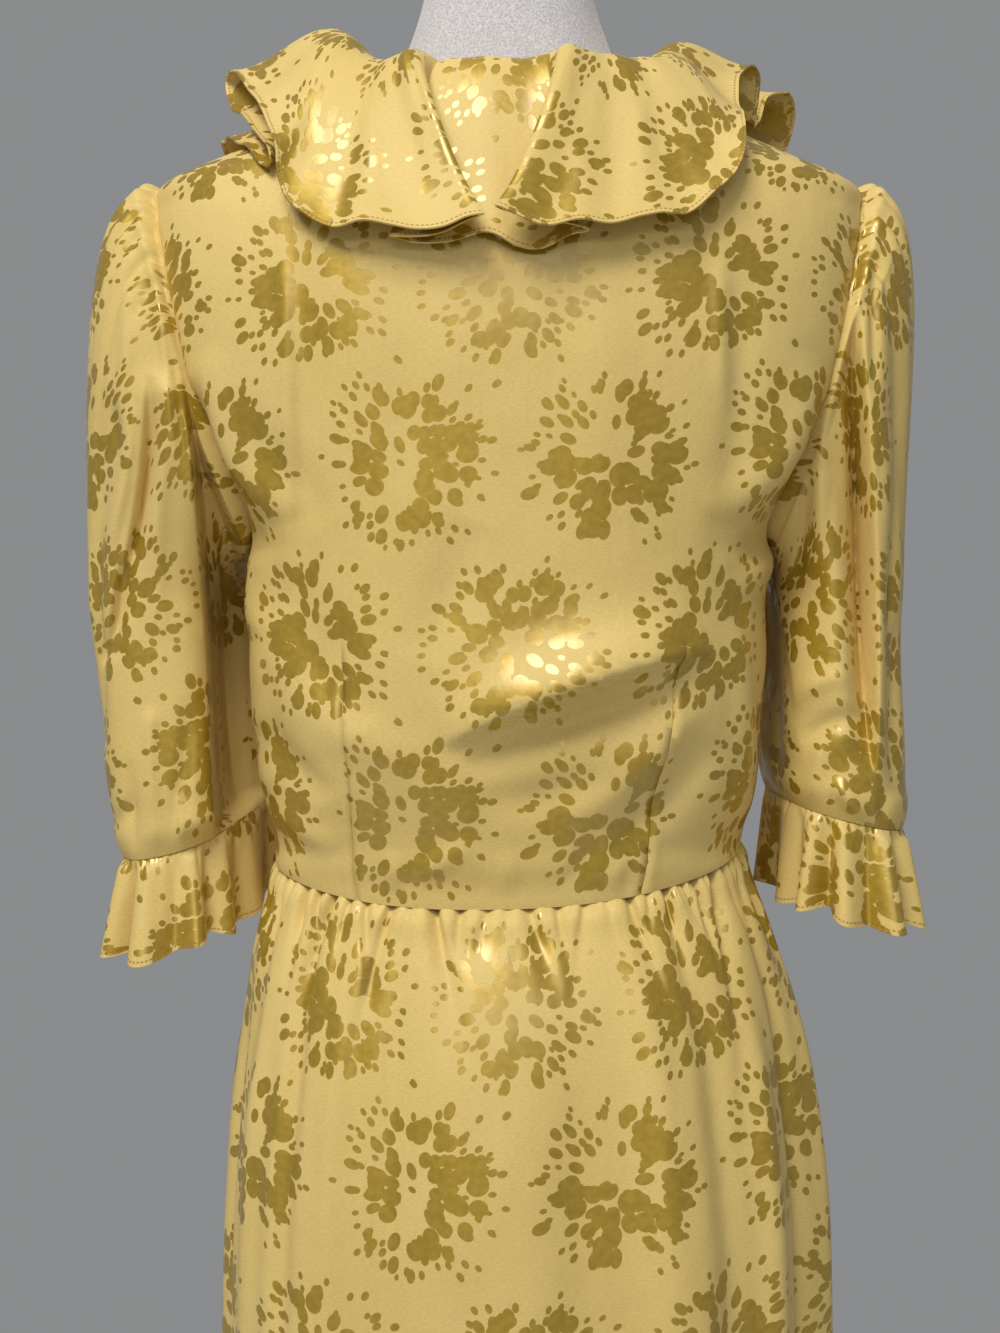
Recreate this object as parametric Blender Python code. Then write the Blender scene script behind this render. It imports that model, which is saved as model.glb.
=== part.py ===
"""A wrap dress of satin on a limbless dress form with a round base.

Metres, +Z up. The dress faces -Y, so its back is at +Y and the wearer's left at +X. The floor is
at z = 0. Angles round the body start at the centre back and grow towards the wearer's left.
"""

import math

import bmesh
import bpy
import numpy as np

# Cloth
WALL = 0.0012
RUFFLE_WALL = 0.0010
SEAM = 0.0004
ARMHOLE_GAP = 0.0006
WRAP_LIFT = 0.0032
# The upper front rises over the lower one from this far past its side, and lies flat on the body
# again above this level
WRAP_START, WRAP_RUN = 15.0, 40.0
WRAP_TOP, WRAP_FADE = 1.310, 0.080
SKIRT_WRAP_LIFT = 1.15 * WRAP_LIFT

# Levels on the body
WAIST = 1.000
EVEN = 1.100
UNDERARM = 1.187
SHOULDER_TIP = 1.3875
NECK = 1.440
HEM = 0.330

# The waist seam climbs from the centre back to the sides and on to the front
WAIST_RISE_FRONT = 0.016
WAIST_RISE_SIDE = 0.009
WAIST_TILT = -0.005
WAIST_WIDE, WAIST_BACK, WAIST_FRONT = 0.1275, 0.083, 0.093

SQUARE = 2.3  # how square a section is: 2 is an ellipse

# Sections of the bodice: height, half width, depth behind, depth in front, squareness
BODICE = np.array(
    [
        (0.990, 0.1275, 0.083, 0.092, 2.30),
        (1.030, 0.1275, 0.088, 0.094, 2.35),
        (1.065, 0.1340, 0.097, 0.100, 2.50),
        (1.100, 0.1375, 0.101, 0.107, 2.60),
        (1.130, 0.1405, 0.103, 0.115, 2.60),
        (1.165, 0.1400, 0.104, 0.122, 2.60),
        (1.190, 0.1430, 0.105, 0.124, 2.58),
        (1.220, 0.1600, 0.106, 0.121, 2.48),
        (1.250, 0.1780, 0.107, 0.115, 2.38),
        (1.300, 0.1950, 0.108, 0.100, 2.30),
        (1.345, 0.1980, 0.104, 0.083, 2.30),
        (1.370, 0.1955, 0.098, 0.072, 2.30),
        (1.3875, 0.1890, 0.090, 0.064, 2.30),
        (1.400, 0.1600, 0.084, 0.060, 2.30),
        (1.415, 0.1250, 0.076, 0.057, 2.30),
        (1.430, 0.0900, 0.066, 0.056, 2.30),
        (1.440, 0.0700, 0.058, 0.055, 2.30),
        (1.460, 0.0620, 0.052, 0.050, 2.30),
    ]
)

# Sections of the skirt: drop below the waist seam, half width, depth behind, depth in front,
# sideways shift, depth of its soft folds
SKIRT = np.array(
    [
        (0.000, 0.1275, 0.083, 0.093, 0.000, 0.0000),
        (0.012, 0.1315, 0.088, 0.098, 0.000, 0.0000),
        (0.030, 0.1375, 0.096, 0.104, -0.001, 0.0006),
        (0.051, 0.1430, 0.103, 0.109, -0.002, 0.0012),
        (0.0785, 0.1485, 0.109, 0.113, -0.004, 0.0020),
        (0.128, 0.1555, 0.116, 0.117, -0.005, 0.0028),
        (0.1775, 0.1600, 0.120, 0.120, -0.006, 0.0034),
        (0.267, 0.1625, 0.122, 0.122, -0.006, 0.0042),
        (0.430, 0.1670, 0.127, 0.126, -0.005, 0.0055),
        (0.700, 0.1770, 0.136, 0.135, -0.004, 0.0075),
    ]
)

# Armholes: how far each cuts into the back and the front of the body, in degrees
ARMHOLE_BACK = 28.0
ARMHOLE_FRONT = 34.0

# The crossing fronts: where a front's edge passes the centre line, as a sideways distance
NECK_EDGE = np.array(
    [
        (1.034, 0.082),
        (1.100, 0.063),
        (1.187, 0.030),
        (1.290, -0.010),
        (1.380, -0.044),
        (1.440, -0.0660),
    ]
)
SKIRT_CROSSING = 0.075

# The tie: where it sits round the waist, and how far out the knot and the tails lie
TIE_AT = 141.0
TIE_TOP = 0.01155
TIE_SLANT = 0.0008
KNOT_OUT = 0.0111
KNOT_WIDE = 0.013
KNOT_DEEP = 0.0078
KNOT_RINGS = ((-0.011, 0.55), (-0.007, 0.92), (0.0, 1.0), (0.007, 0.92), (0.011, 0.55))
TAIL_OUT = 0.0082
TAIL_OVER = 0.0030
TAIL_FRONT_LONG, TAIL_SIDE_LONG = 0.190, 0.160

BODICE_WAIST_STEPS = (0.0, 0.35, 0.70)
BODICE_LEVELS = (EVEN, 1.145, UNDERARM, 1.196, 1.222, 1.262, 1.310, 1.345, 1.369, 1.381)
BODICE_LEVELS += (SHOULDER_TIP, 1.404, 1.420, 1.431, NECK)
BACK_COLUMNS = 21
FRONT_COLUMNS = 11
GATHERS_ROUND = 50
GATHER_DEPTH = 0.0022
GATHER_FADE = 0.045
# Soft folds of the skirt: waves round, phase, share of the depth, and turn as they fall
SKIRT_WAVES = ((9, 0.7, 1.0, 0.0), (14, 2.0, 0.6, 2.0))

# Sleeves: the tube below the underarm, as level, outer edge, inner edge, back, front
SLEEVE_LEFT = np.array(
    [
        (1.160, 0.2310, 0.1510, 0.037, -0.085),
        (1.105, 0.2245, 0.1490, 0.035, -0.083),
        (1.060, 0.2195, 0.1460, 0.034, -0.080),
        (1.030, 0.2130, 0.1450, 0.031, -0.072),
    ]
)
SLEEVE_RIGHT = np.array(
    [
        (1.160, 0.2140, 0.1480, 0.046, -0.078),
        (1.105, 0.2160, 0.1460, 0.047, -0.076),
        (1.060, 0.2185, 0.1455, 0.044, -0.072),
        (1.036, 0.2180, 0.1495, 0.040, -0.062),
    ]
)
SLEEVE_SQUARE = 2.3
SLEEVE_SKEW = {"left": 0.15, "right": 0.04}
CUFF_LEVEL = {"left": (1.037, -0.008, -0.014), "right": (1.047, -0.008, -0.006)}
HEAD_GATHERS = 8
HEAD_GATHER_DEPTH = 0.0024
HEAD_GATHER_END = 0.6
HEAD_FROM = 1.31
# The way a sleeve leaves the armhole, at its middle and how it turns towards the tip
LEAVE = np.array((0.80, 0.0, -0.12))
LEAVE_TURN = np.array((0.13, 0.50, 0.48))
# How strongly it leaves at the back and front, at the tip and under the arm
LEAVE_SIDE, LEAVE_TIP, LEAVE_UNDER = 0.045, 0.115, -0.015
# How strongly it falls into the tube: the same three
FALL_SIDE, FALL_TIP, FALL_UNDER = 0.12, 0.08, 0.09
SLEEVE_STEPS = (0.0, 0.035, 0.10, 0.20, 0.34, 0.50, 0.68, 0.85, 1.0)
TUBE_STEPS = (0.35, 0.70, 1.0)

# Deep folds down the sleeves: side, angle at the top and at the bottom, where it starts and ends
# along the sleeve, depth, half width in degrees
SLEEVE_FOLDS = (
    ("left", 62.0, 33.0, 0.25, 0.80, 0.0075, 13.0),
    ("right", 48.0, 52.0, 0.10, 0.93, 0.0090, 12.0),
)

CUFF_WAVES = 13
CUFF_DROP = 0.056
CUFF_FLARE = 0.009
CUFF_WAVE_DEPTH = 0.0065
CUFF_STEPS = (0.0, 0.25, 0.6, 1.0)
# The waves' share just below the seam, and how they and the flare shrink on the body's side
CUFF_WAVE_START = 0.25
CUFF_CALM_FROM, CUFF_CALM_RUN = 0.35, 0.6
CUFF_WAVE_CALM, CUFF_FLARE_CALM = 0.7, 0.6
# How unevenly deep the waves are: swing, turns round, and phase on each side
CUFF_UNEVEN, CUFF_UNEVEN_TURNS = 0.25, 2.7
CUFF_PHASE = {"left": 1.0, "right": 2.0}

# The flounce round the neck, from the wearer's left shoulder over the back to the right shoulder.
# Root is the angle round the neck seam. From 90 to 93 it runs on to the neck's corner in front,
# and past that down the front edge, 4 mm a step.
# Then the hem's place, how far the flounce stands up before it falls, and how far it stands out.
STEP_DOWN = 0.004
NECK_CORNER = 93.0
NECK_SEAM = (0.0690, 0.0575, 0.0545)
FLOUNCE_RISE = 0.0030
FLOUNCE = np.array(
    [
        (100.0, 0.1480, -0.058, 1.400, 0.034, 0.014),
        (97.0, 0.1570, -0.036, 1.410, 0.034, 0.014),
        (95.0, 0.1600, -0.012, 1.414, 0.036, 0.012),
        (93.0, 0.1560, 0.018, 1.4115, 0.036, 0.008),
        (89.0, 0.1390, 0.060, 1.3985, 0.042, 0.003),
        (87.0, 0.1290, 0.0775, 1.3855, 0.047, 0.003),
        (85.3, 0.1238, 0.0858, 1.3835, 0.051, 0.003),
        (83.8, 0.1242, 0.0845, 1.3895, 0.049, 0.003),
        (82.4, 0.1290, 0.0745, 1.3990, 0.046, 0.002),
        (80.0, 0.1355, 0.0560, 1.4090, 0.046, 0.003),
        (78.0, 0.1430, 0.0340, 1.4200, 0.046, 0.004),
        (76.0, 0.1530, 0.0060, 1.4320, 0.044, 0.004),
        (73.5, 0.1584, -0.0100, 1.4507, 0.048, 0.006),
        (70.5, 0.1515, 0.0120, 1.4510, 0.052, 0.009),
        (67.5, 0.1370, 0.0470, 1.4290, 0.056, 0.012),
        (64.5, 0.1250, 0.0790, 1.4060, 0.058, 0.014),
        (61.0, 0.1185, 0.0945, 1.3850, 0.055, 0.015),
        (57.0, 0.1168, 0.0975, 1.3732, 0.052, 0.015),
        (53.5, 0.1135, 0.1000, 1.3615, 0.051, 0.015),
        (50.5, 0.1024, 0.1055, 1.3523, 0.052, 0.015),
        (48.0, 0.0882, 0.1110, 1.3458, 0.053, 0.015),
        (45.5, 0.0736, 0.1175, 1.3465, 0.054, 0.016),
        (43.5, 0.0598, 0.1190, 1.3439, 0.056, 0.020),
        (41.5, 0.0467, 0.1215, 1.3419, 0.058, 0.022),
        (39.5, 0.0332, 0.1255, 1.3430, 0.061, 0.026),
        (38.4, 0.0215, 0.1292, 1.3471, 0.057, 0.025),
        (37.4, 0.0148, 0.1308, 1.3478, 0.057, 0.026),
        (36.4, 0.0120, 0.1292, 1.3477, 0.057, 0.025),
        (35.3, 0.0145, 0.1270, 1.3468, 0.056, 0.023),
        (33.6, 0.0195, 0.1254, 1.3455, 0.055, 0.021),
        (30.0, 0.0348, 0.1205, 1.3400, 0.053, 0.017),
        (27.0, 0.0500, 0.1160, 1.3395, 0.048, 0.011),
        (25.2, 0.0590, 0.1150, 1.3400, 0.044, 0.008),
        (24.0, 0.0612, 0.1130, 1.3402, 0.044, 0.008),
        (22.8, 0.0585, 0.1108, 1.3396, 0.046, 0.008),
        (21.0, 0.0496, 0.1092, 1.3377, 0.049, 0.009),
        (15.0, 0.0305, 0.1105, 1.3385, 0.049, 0.009),
        (7.0, 0.0115, 0.1110, 1.3419, 0.049, 0.009),
        (0.0, -0.0040, 0.1120, 1.3356, 0.049, 0.009),
        (-5.0, -0.0175, 0.1120, 1.3346, 0.049, 0.009),
        (-8.0, -0.0320, 0.1120, 1.3410, 0.050, 0.009),
        (-10.0, -0.0385, 0.1140, 1.3425, 0.051, 0.010),
        (-12.5, -0.0345, 0.1175, 1.3430, 0.052, 0.013),
        (-16.0, -0.0173, 0.1220, 1.3454, 0.053, 0.018),
        (-19.0, 0.0010, 0.1255, 1.3503, 0.055, 0.022),
        (-20.6, 0.0048, 0.1266, 1.3511, 0.056, 0.023),
        (-22.0, 0.0068, 0.1285, 1.3513, 0.057, 0.024),
        (-23.2, 0.0045, 0.1303, 1.3505, 0.057, 0.025),
        (-24.6, -0.0039, 0.1306, 1.3473, 0.057, 0.025),
        (-26.8, -0.0187, 0.1272, 1.3429, 0.056, 0.023),
        (-29.5, -0.0341, 0.1235, 1.3456, 0.055, 0.019),
        (-33.0, -0.0502, 0.1195, 1.3450, 0.054, 0.017),
        (-36.5, -0.0652, 0.1180, 1.3498, 0.053, 0.015),
        (-40.0, -0.0760, 0.1160, 1.3522, 0.052, 0.015),
        (-45.0, -0.0887, 0.1110, 1.3522, 0.051, 0.015),
        (-51.0, -0.1036, 0.1035, 1.3641, 0.050, 0.015),
        (-57.0, -0.1150, 0.0960, 1.3765, 0.048, 0.013),
        (-62.5, -0.1200, 0.0897, 1.3906, 0.046, 0.011),
        (-67.0, -0.1225, 0.0640, 1.4130, 0.044, 0.008),
        (-71.0, -0.1225, 0.0400, 1.4290, 0.043, 0.006),
        (-75.0, -0.1266, 0.0200, 1.4488, 0.042, 0.006),
        (-78.5, -0.1340, 0.0080, 1.4555, 0.040, 0.005),
        (-81.5, -0.1394, -0.0020, 1.4523, 0.038, 0.004),
        (-84.0, -0.1385, -0.0080, 1.4400, 0.036, 0.003),
        (-86.5, -0.1370, -0.0120, 1.4280, 0.034, 0.002),
        (-89.0, -0.1400, -0.0200, 1.4300, 0.034, 0.003),
        (-92.0, -0.1475, -0.0300, 1.4490, 0.036, 0.005),
        (-94.5, -0.1618, -0.0440, 1.4548, 0.038, 0.006),
        (-97.0, -0.1665, -0.0560, 1.4440, 0.038, 0.006),
        (-99.5, -0.1600, -0.0640, 1.4200, 0.036, 0.006),
    ]
)
FLOUNCE_STEPS = (0.0, 0.16, 0.38, 0.68, 1.0)
FLOUNCE_DEPTH = 0.090
FLOUNCE_END_DEPTH = 0.016
FLOUNCE_SWING = 1.5
FLOUNCE_HUMP = 3.375
FLOUNCE_LIFT = 0.006
FLOUNCE_WAVE = 0.020
FRONT_WAVE_STEPS = 10.0
FRONT_STATIONS_A_WAVE = 5
# In front: how far each wave stands up and out, how steeply the flounce falls, and how near the
# body's side its hem may come
FRONT_RISE, FRONT_RISE_TOP = 0.004, 0.032
FRONT_REACH, FRONT_REACH_WAVE, FRONT_REACH_END = 0.018, 0.006, 0.003
FRONT_SLOPE = 0.34
FRONT_SIDE_LIMIT = 0.985
FLOUNCE_LEFT_END = 133.0
FLOUNCE_RIGHT_END = -190.0

# The form: level, half width, depth behind, depth in front
FORM = np.array(
    [
        (0.780, 0.1280, 0.090, 0.088),
        (0.800, 0.1330, 0.096, 0.093),
        (0.860, 0.1350, 0.099, 0.096),
        (0.920, 0.1310, 0.094, 0.093),
        (0.970, 0.1220, 0.083, 0.087),
        (1.010, 0.1170, 0.075, 0.083),
        (1.060, 0.1210, 0.082, 0.088),
        (1.100, 0.1250, 0.088, 0.096),
        (1.150, 0.1290, 0.092, 0.106),
        (1.200, 0.1350, 0.095, 0.110),
        (1.250, 0.1480, 0.097, 0.103),
        (1.300, 0.1580, 0.097, 0.088),
        (1.345, 0.1640, 0.093, 0.073),
        (1.370, 0.1650, 0.088, 0.065),
        (1.3845, 0.1640, 0.084, 0.0595),
        (1.3965, 0.1570, 0.080, 0.0560),
    ]
)
FORM_NECK = np.array(
    [
        (1.452, 0.0610, 0.051, 0.049),
        (1.468, 0.0545, 0.047, 0.045),
        (1.490, 0.0478, 0.043, 0.042),
        (1.512, 0.0455, 0.041, 0.040),
    ]
)
FORM_UNDER_NECKLINE = (1.402, 1.420, NECK)
FORM_DROP = 0.0022
FORM_INSET = np.array((0.0, 0.0014, 0.0060))
POLE_RADIUS = 0.014
BASE_RADIUS = 0.200
BASE_HEIGHT = 0.014
BASE_EDGE = 0.003
JOINT = 0.0003
# The cap on the neck: how far up, and its share of the neck's size
CAP = ((0.0, 0.93), (0.004, 1.0), (0.010, 0.97), (0.014, 0.80))


def clear_scene():
    for thing in list(bpy.data.objects):
        bpy.data.objects.remove(thing, do_unlink=True)


def smooth_rows(table, at):
    """The table's columns at a value of its first one, on a smooth curve through its rows."""
    keys = table[:, 0]
    slopes = np.gradient(table[:, 1:], keys, axis=0)
    at = min(max(at, keys[0]), keys[-1])
    k = int(min(max(np.searchsorted(keys, at) - 1, 0), len(keys) - 2))
    span = keys[k + 1] - keys[k]
    t = (at - keys[k]) / span
    low, high = table[k, 1:], table[k + 1, 1:]
    return (
        (1 + 2 * t) * (1 - t) ** 2 * low
        + t * (1 - t) ** 2 * span * slopes[k]
        + t * t * (3 - 2 * t) * high
        + t * t * (t - 1) * span * slopes[k + 1]
    )


def ease(t):
    t = min(max(t, 0.0), 1.0)
    return t * t * (3 - 2 * t)


def section_point(wide, back, front, square, degrees):
    """A point of a squarish oval: 0 is the centre back, 90 the wearer's left."""
    s, c = math.sin(math.radians(degrees)), math.cos(math.radians(degrees))
    power = 2 / square
    deep = back if c > 0 else front
    return math.copysign(wide * abs(s) ** power, s), math.copysign(deep * abs(c) ** power, c)


def angle_at(x, wide, square):
    """How far round from the centre line a sideways distance lies, in degrees."""
    share = min(abs(x) / wide, 1.0)
    return math.copysign(math.degrees(math.asin(share ** (square / 2))), x)


def waist_level(degrees):
    s, c = math.sin(math.radians(degrees)), math.cos(math.radians(degrees))
    return WAIST + WAIST_RISE_FRONT * (1 - c) + WAIST_RISE_SIDE * s * s + WAIST_TILT * s


def outward(degrees):
    """The level direction straight out of the body at this angle."""
    steep = SQUARE / (SQUARE - 1)
    x, y = section_point(1 / WAIST_WIDE, 1 / WAIST_BACK, 1 / WAIST_FRONT, steep, degrees)
    size = math.hypot(x, y)
    return np.array((x / size, y / size, 0.0))


def body_point(level, degrees):
    x, y = section_point(*smooth_rows(BODICE, level), degrees)
    return np.array((x, y, level))


def body_normal(level, degrees):
    """Straight out of the bodice's surface."""
    along = body_point(level, degrees + 0.5) - body_point(level, degrees - 0.5)
    up = body_point(level + 0.001, degrees) - body_point(level - 0.001, degrees)
    normal = np.cross(up, along)
    return normal / np.linalg.norm(normal)


def waist_point(degrees):
    x, y = section_point(WAIST_WIDE, WAIST_BACK, WAIST_FRONT, SQUARE, degrees)
    return np.array((x, y, waist_level(degrees)))


def skirt_point(drop, degrees, gathered=1.0):
    """A point of the skirt, this far below the waist seam, with its gathers and soft folds."""
    wide, back, front, shift, fold = smooth_rows(SKIRT, drop)
    x, y = section_point(wide, back, front, SQUARE, degrees)
    turn = math.radians(degrees)
    fade = math.exp(-drop / GATHER_FADE)
    gather = gathered * GATHER_DEPTH * math.cos(GATHERS_ROUND * turn) * fade
    soft = 0.0
    for waves, phase, share, twist in SKIRT_WAVES:
        soft += fold * share * math.sin(waves * turn + phase + twist * drop)
    way = outward(degrees)
    return np.array((x + shift, y, waist_level(degrees) - drop)) + way * (gather + soft)


def wall(name, outer, thickness, colour, ring=False, flat_rows=(), side=1.0, outside=0.0):
    """A closed wall through a grid of points, a row at a time upwards.

    The points lie on its outer face, or as far inside it as outside says.
    """
    outer = np.array(outer, float)
    if ring:
        along = np.roll(outer, -1, axis=1) - np.roll(outer, 1, axis=1)
    else:
        along = np.gradient(outer, axis=1)
    up = np.gradient(outer, axis=0)
    normal = np.cross(up, along) * side
    for row in flat_rows:
        normal[row, :, 2] = 0.0
    normal /= np.linalg.norm(normal, axis=2, keepdims=True)
    outer = outer + normal * outside
    inner = outer - normal * thickness
    rows, cols = outer.shape[:2]
    mesh = bmesh.new()
    grids = []
    for points in (outer, inner):
        grids.append([[mesh.verts.new(p) for p in row] for row in points])
    far = cols if ring else cols - 1
    for i in range(rows - 1):
        for j in range(far):
            k = (j + 1) % cols
            corners = ((i, j), (i, k), (i + 1, k), (i + 1, j))
            spans = [outer[corners[n]] - outer[corners[n + 2]] for n in (0, 1)]
            first = int(np.linalg.norm(spans[1]) < np.linalg.norm(spans[0]))
            for half in (0, 2):
                three = [corners[(first + half + n) % 4] for n in range(3)]
                mesh.faces.new([grids[0][r][c] for r, c in three])
                mesh.faces.new([grids[1][r][c] for r, c in three[::-1]])
    for j in range(far):
        k = (j + 1) % cols
        for i in (0, rows - 1):
            mesh.faces.new((grids[0][i][k], grids[0][i][j], grids[1][i][j], grids[1][i][k]))
    if not ring:
        for i in range(rows - 1):
            for j in (0, cols - 1):
                rim = ((0, i), (0, i + 1), (1, i + 1), (1, i))
                mesh.faces.new([grids[g][r][j] for g, r in rim])
    return finish(name, mesh, colour)


def solid(name, rings, colour):
    """A closed body through rings of points from the bottom up, flat at both ends."""
    mesh = bmesh.new()
    rows = [[mesh.verts.new(p) for p in ring] for ring in rings]
    count = len(rows[0])
    for low, high in zip(rows, rows[1:]):
        for j in range(count):
            k = (j + 1) % count
            mesh.faces.new((low[j], low[k], high[k], high[j]))
    mesh.faces.new(rows[0][::-1])
    mesh.faces.new(rows[-1])
    return finish(name, mesh, colour)


def finish(name, mesh, colour):
    bmesh.ops.recalc_face_normals(mesh, faces=mesh.faces)
    bmesh.ops.triangulate(mesh, faces=mesh.faces)
    if mesh.calc_volume(signed=True) < 0:
        bmesh.ops.reverse_faces(mesh, faces=mesh.faces)
    data = bpy.data.meshes.new(name)
    mesh.to_mesh(data)
    mesh.free()
    data.shade_smooth()
    data.set_sharp_from_angle(angle=math.radians(60))
    thing = bpy.data.objects.new(name, data)
    bpy.context.scene.collection.objects.link(thing)
    data.materials.append(material(name, *colour))
    return thing


def material(name, colour, roughness, metallic):
    made = bpy.data.materials.new(name)
    made.use_nodes = True
    shader = made.node_tree.nodes["Principled BSDF"]
    shader.inputs["Base Color"].default_value = (*colour, 1)
    shader.inputs["Roughness"].default_value = roughness
    shader.inputs["Metallic"].default_value = metallic
    made.diffuse_color = (*colour, 1)
    return made


SATIN = ((0.78, 0.58, 0.22), 0.35, 0.0)
FLOCK = ((0.80, 0.78, 0.77), 0.9, 0.0)
STEEL = ((0.62, 0.63, 0.65), 0.3, 1.0)
PAINT = ((0.70, 0.69, 0.68), 0.5, 0.0)


def armhole_angle(level, front=False):
    """Where the armhole cuts the body at this level, in degrees from the side seam's 90."""
    share = (level - UNDERARM) / (SHOULDER_TIP - UNDERARM)
    if share <= 0 or share >= 1:
        return 0.0
    return (ARMHOLE_FRONT if front else ARMHOLE_BACK) * math.sqrt(math.sin(math.pi * share))


def bodice_point(row, degrees, lift=0.0):
    """A point of the bodice: the first rows climb from the waist seam, the others are level."""
    if row >= len(BODICE_WAIST_STEPS):
        point = body_point(BODICE_LEVELS[row - len(BODICE_WAIST_STEPS)], degrees)
    else:
        step = BODICE_WAIST_STEPS[row]
        seam = waist_point(degrees) + (0, 0, SEAM / 2)
        above = body_point(seam[2] + (EVEN - seam[2]) * step, degrees)
        point = seam + (above - seam) * ease(step / BODICE_WAIST_STEPS[1])
        point[2] = above[2]
    return point + outward(degrees) * lift


def row_level(row):
    """The height that a bodice row is cut at. The waist rows count as the lowest level."""
    return BODICE_LEVELS[max(row - len(BODICE_WAIST_STEPS), 0)]


def edge_gap(level):
    """Half the seam's gap as an angle at the side of the body."""
    wide, back = smooth_rows(BODICE, level)[:2]
    return math.degrees(SEAM / 2 / (0.5 * (wide + back)))


BODICE_ROWS = range(len(BODICE_WAIST_STEPS) + len(BODICE_LEVELS))


def bodice_back():
    grid = []
    for row in BODICE_ROWS:
        level = row_level(row)
        end = 90 - armhole_angle(level) - edge_gap(level)
        grid.append([bodice_point(row, end * share) for share in np.linspace(-1, 1, BACK_COLUMNS)])
    wall("bodice_back", grid, WALL, SATIN, flat_rows=(0,))


def neck_edge(level):
    """How far past the centre front a front's edge lies, in degrees."""
    wide, _, _, square = smooth_rows(BODICE, level)
    return angle_at(smooth_rows(NECK_EDGE, level)[0], wide, square)


def wrap_lift(level, past_side):
    """The upper front lies over the lower one from its side towards the crossing."""
    across = ease((past_side - WRAP_START) / WRAP_RUN)
    return WRAP_LIFT * across * ease((WRAP_TOP - level) / WRAP_FADE)


def front_edge_level(row):
    """The height at which a front's free edge meets this row."""
    if row >= len(BODICE_WAIST_STEPS):
        return row_level(row)
    seam = waist_level(180 + neck_edge(NECK_EDGE[0, 0]))
    return seam + (EVEN - seam) * BODICE_WAIST_STEPS[row]


def bodice_front(side):
    """A front: 1 is the wearer's left, which lies under, and -1 the right, which lies over."""
    grid = []
    for row in BODICE_ROWS:
        level = row_level(row)
        start = 90 + armhole_angle(level, front=True) + edge_gap(level)
        end = 180 + neck_edge(front_edge_level(row))
        line = []
        for share in np.linspace(0, 1, FRONT_COLUMNS):
            degrees = start + (end - start) * share
            lift = wrap_lift(front_edge_level(row), degrees - 90) if side < 0 else 0.0
            line.append(bodice_point(row, side * degrees, lift))
        grid.append(line if side > 0 else line[::-1])
    name = "bodice_front_left" if side > 0 else "bodice_front_right"
    wall(name, grid, WALL, SATIN, flat_rows=(0,))


SKIRT_DROPS = (0.0, 0.014, 0.038, 0.085, 0.170, 0.380, None)


def skirt_panel(name, start, end, columns, lift=lambda degrees: 0.0):
    """A panel of the skirt between two angles, gathered into the waist seam."""
    grid = []
    for drop in reversed(SKIRT_DROPS):
        line = []
        for degrees in np.linspace(start, end, columns):
            fall = waist_level(degrees) - HEM if drop is None else drop + SEAM / 2
            point = skirt_point(fall, degrees) + outward(degrees) * lift(degrees)
            line.append(point)
        grid.append(line)
    wall(name, grid, WALL, SATIN, flat_rows=(0, len(grid) - 1))


def skirt():
    gap = math.degrees(SEAM / 2 / WAIST_WIDE)
    crossing = angle_at(SKIRT_CROSSING, WAIST_WIDE, SQUARE)
    a_gather = 360 / GATHERS_ROUND / 2
    half = 90 - gap
    front = 90 + crossing - gap
    skirt_panel("skirt_back", -half, half, round(2 * half / a_gather) + 1)
    skirt_panel("skirt_front_left", 90 + gap, 180 + crossing, round(front / a_gather) + 1)
    skirt_panel(
        "skirt_front_right",
        -180 - crossing,
        -90 - gap,
        round(front / a_gather) + 1,
        lambda degrees: SKIRT_WRAP_LIFT * ease((-degrees - 90 - WRAP_START) / WRAP_RUN),
    )


def armhole_ring(side):
    """The armhole's edge from the shoulder tip down the back and up the front, on the left side.

    Its points lie on the bodice's own edge points, with extra ones between them over the head.
    """
    levels = [level for level in BODICE_LEVELS if UNDERARM <= level <= SHOULDER_TIP]
    ring = []
    for front in (False, True):
        half = []
        for level in reversed(levels):
            angle = 90 + armhole_angle(level, True) if front else 90 - armhole_angle(level)
            half.append(body_point(level, angle))
        points = []
        for a, b in zip(half, half[1:]):
            pieces = 3 if b[2] >= HEAD_FROM else 1
            points += [(a + (b - a) * k / pieces, pieces) for k in range(pieces)]
        points.append((half[-1], 1))
        ring.append(points)
    back, front = ring
    return back[:-1] + front[::-1][:-1]


def tube_point(table, side, level, turn):
    """A point of the hanging sleeve: turn 0 is its outer edge, 90 its back."""
    outer, inner, back, front = smooth_rows(table[::-1], level)
    c, s = math.cos(math.radians(turn)), math.sin(math.radians(turn))
    power = 2 / SLEEVE_SQUARE
    across = math.copysign(abs(c) ** power, c)
    deep = math.copysign(abs(s) ** power, s)
    y = deep * (back - front) / 2
    x = (outer + inner) / 2 + across * (outer - inner) / 2 + SLEEVE_SKEW[side] * y
    return np.array((x, (back + front) / 2 + y, level)), across, deep


def leave_way(turn):
    """The way a sleeve leaves the armhole at this turn."""
    c, s = math.cos(math.radians(turn)), math.sin(math.radians(turn))
    return LEAVE + LEAVE_TURN * (c, s, c)


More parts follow.
